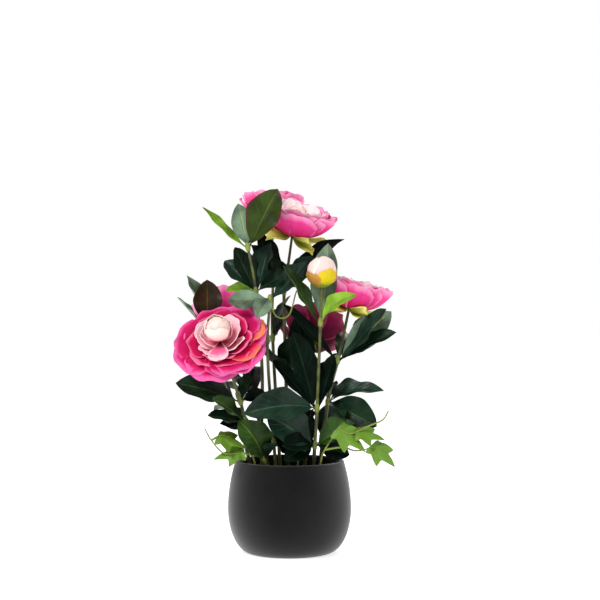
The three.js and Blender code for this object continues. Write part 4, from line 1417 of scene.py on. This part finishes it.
# Floor, lights and camera, in metres. A light has its place, its width and its strength.
FLOOR_REACH = 60
FLOOR_GLOW = 0.72
FLOOR_PAINT = {"Base Color": (0.85, 0.85, 0.85, 1), "Roughness": 0.7,
               "Emission Color": (1, 1, 1, 1), "Emission Strength": FLOOR_GLOW}
LIGHTS = {
    "key_light": ((-0.8, -1.2, 1.4), 0.6, 24),
    "fill_light": ((1.4, -0.9, 0.7), 1.0, 5),
    "back_light": ((0.5, 1.3, 1.2), 1.0, 12),
}
LIGHT_AIM = Vector((0, 0, 0.22))
ROOM_LIGHT = 0.34
CAMERA_PLACE = (0.0113, -1.570, 0.2717)
CAMERA_LENS = 87.2
CAMERA_CLIP = (0.05, 50)


def make_floor():
    mesh = bpy.data.meshes.new("floor")
    reach = FLOOR_REACH
    mesh.from_pydata([(-reach, -reach, 0), (reach, -reach, 0), (reach, reach, 0),
                      (-reach, reach, 0)], [], [(0, 1, 2, 3)])
    pale = bpy.data.materials.new("floor_paint")
    pale.use_nodes = True
    for key, value in FLOOR_PAINT.items():
        pale.node_tree.nodes["Principled BSDF"].inputs[key].default_value = value
    mesh.materials.append(pale)
    link(bpy.data.objects.new("floor", mesh))


def make_lights():
    for name, (place, size, energy) in LIGHTS.items():
        lamp = bpy.data.lights.new(name, "AREA")
        lamp.size = size
        lamp.energy = energy
        holder = link(bpy.data.objects.new(name, lamp))
        holder.location = place
        aim = LIGHT_AIM - Vector(place)
        holder.rotation_euler = aim.to_track_quat("-Z", "Y").to_euler()


def make_room():
    """White all round, dimmer as a light than as the camera sees it."""
    world = bpy.data.worlds.new("studio")
    world.use_nodes = True
    nodes, links = world.node_tree.nodes, world.node_tree.links
    back = nodes["Background"]
    back.inputs["Color"].default_value = (1, 1, 1, 1)
    path = nodes.new("ShaderNodeLightPath")
    level = nodes.new("ShaderNodeMapRange")
    level.inputs["To Min"].default_value = ROOM_LIGHT
    level.inputs["To Max"].default_value = 1.0
    links.new(path.outputs["Is Camera Ray"], level.inputs["Value"])
    links.new(level.outputs["Result"], back.inputs["Strength"])
    return world


def make_camera():
    """A level camera at the photo's angle."""
    camera = link(bpy.data.objects.new("camera", bpy.data.cameras.new("camera")))
    camera.data.lens = CAMERA_LENS
    camera.data.clip_start, camera.data.clip_end = CAMERA_CLIP
    camera.location = CAMERA_PLACE
    camera.rotation_euler = (math.radians(90), 0, 0)
    return camera


class CAMELLIA_OT_stage(bpy.types.Operator):
    """Set the pale floor, the soft lights and the camera"""
    bl_idname = "camellia.stage"
    bl_label = "Stage"

    def execute(self, context):
        make_floor()
        make_lights()
        context.scene.world = make_room()
        context.scene.camera = make_camera()
        context.scene.view_settings.view_transform = "Standard"
        return {"FINISHED"}


OPERATORS = [CAMELLIA_OT_stage, CAMELLIA_OT_pot, CAMELLIA_OT_filling, CAMELLIA_OT_stems,
             CAMELLIA_OT_collars, CAMELLIA_OT_leaves, CAMELLIA_OT_blooms, CAMELLIA_OT_bud,
             CAMELLIA_OT_sprigs]


class CAMELLIA_PT_panel(bpy.types.Panel):
    """Lists the camellia's settings and pieces"""
    bl_idname = "CAMELLIA_PT_panel"
    bl_label = "Camellia"
    bl_space_type = "VIEW_3D"
    bl_region_type = "UI"
    bl_category = "Camellia"

    def draw(self, context):
        layout = self.layout
        for settings in (context.scene.camellia_pot, context.scene.camellia_leaf,
                         context.scene.camellia_petal):
            box = layout.box()
            for key in settings.__annotations__:
                box.prop(settings, key)
        for operator in OPERATORS:
            layout.operator(operator.bl_idname)


CLASSES = [PotSettings, LeafSettings, PetalSettings, *OPERATORS, CAMELLIA_PT_panel]


def register():
    for kind in CLASSES:
        bpy.utils.register_class(kind)
    bpy.types.Scene.camellia_pot = bpy.props.PointerProperty(type=PotSettings)
    bpy.types.Scene.camellia_leaf = bpy.props.PointerProperty(type=LeafSettings)
    bpy.types.Scene.camellia_petal = bpy.props.PointerProperty(type=PetalSettings)


def unregister():
    del bpy.types.Scene.camellia_petal
    del bpy.types.Scene.camellia_leaf
    del bpy.types.Scene.camellia_pot
    for kind in reversed(CLASSES):
        bpy.utils.unregister_class(kind)


def main():
    register()
    make_surfaces(bpy.context.scene)
    bpy.ops.camellia.stage()
    bpy.ops.camellia.pot()
    bpy.ops.camellia.filling()
    bpy.ops.camellia.stems()
    bpy.ops.camellia.collars()
    bpy.ops.camellia.leaves()
    bpy.ops.camellia.blooms()
    bpy.ops.camellia.bud()
    bpy.ops.camellia.sprigs()


if __name__ == "__main__":
    main()
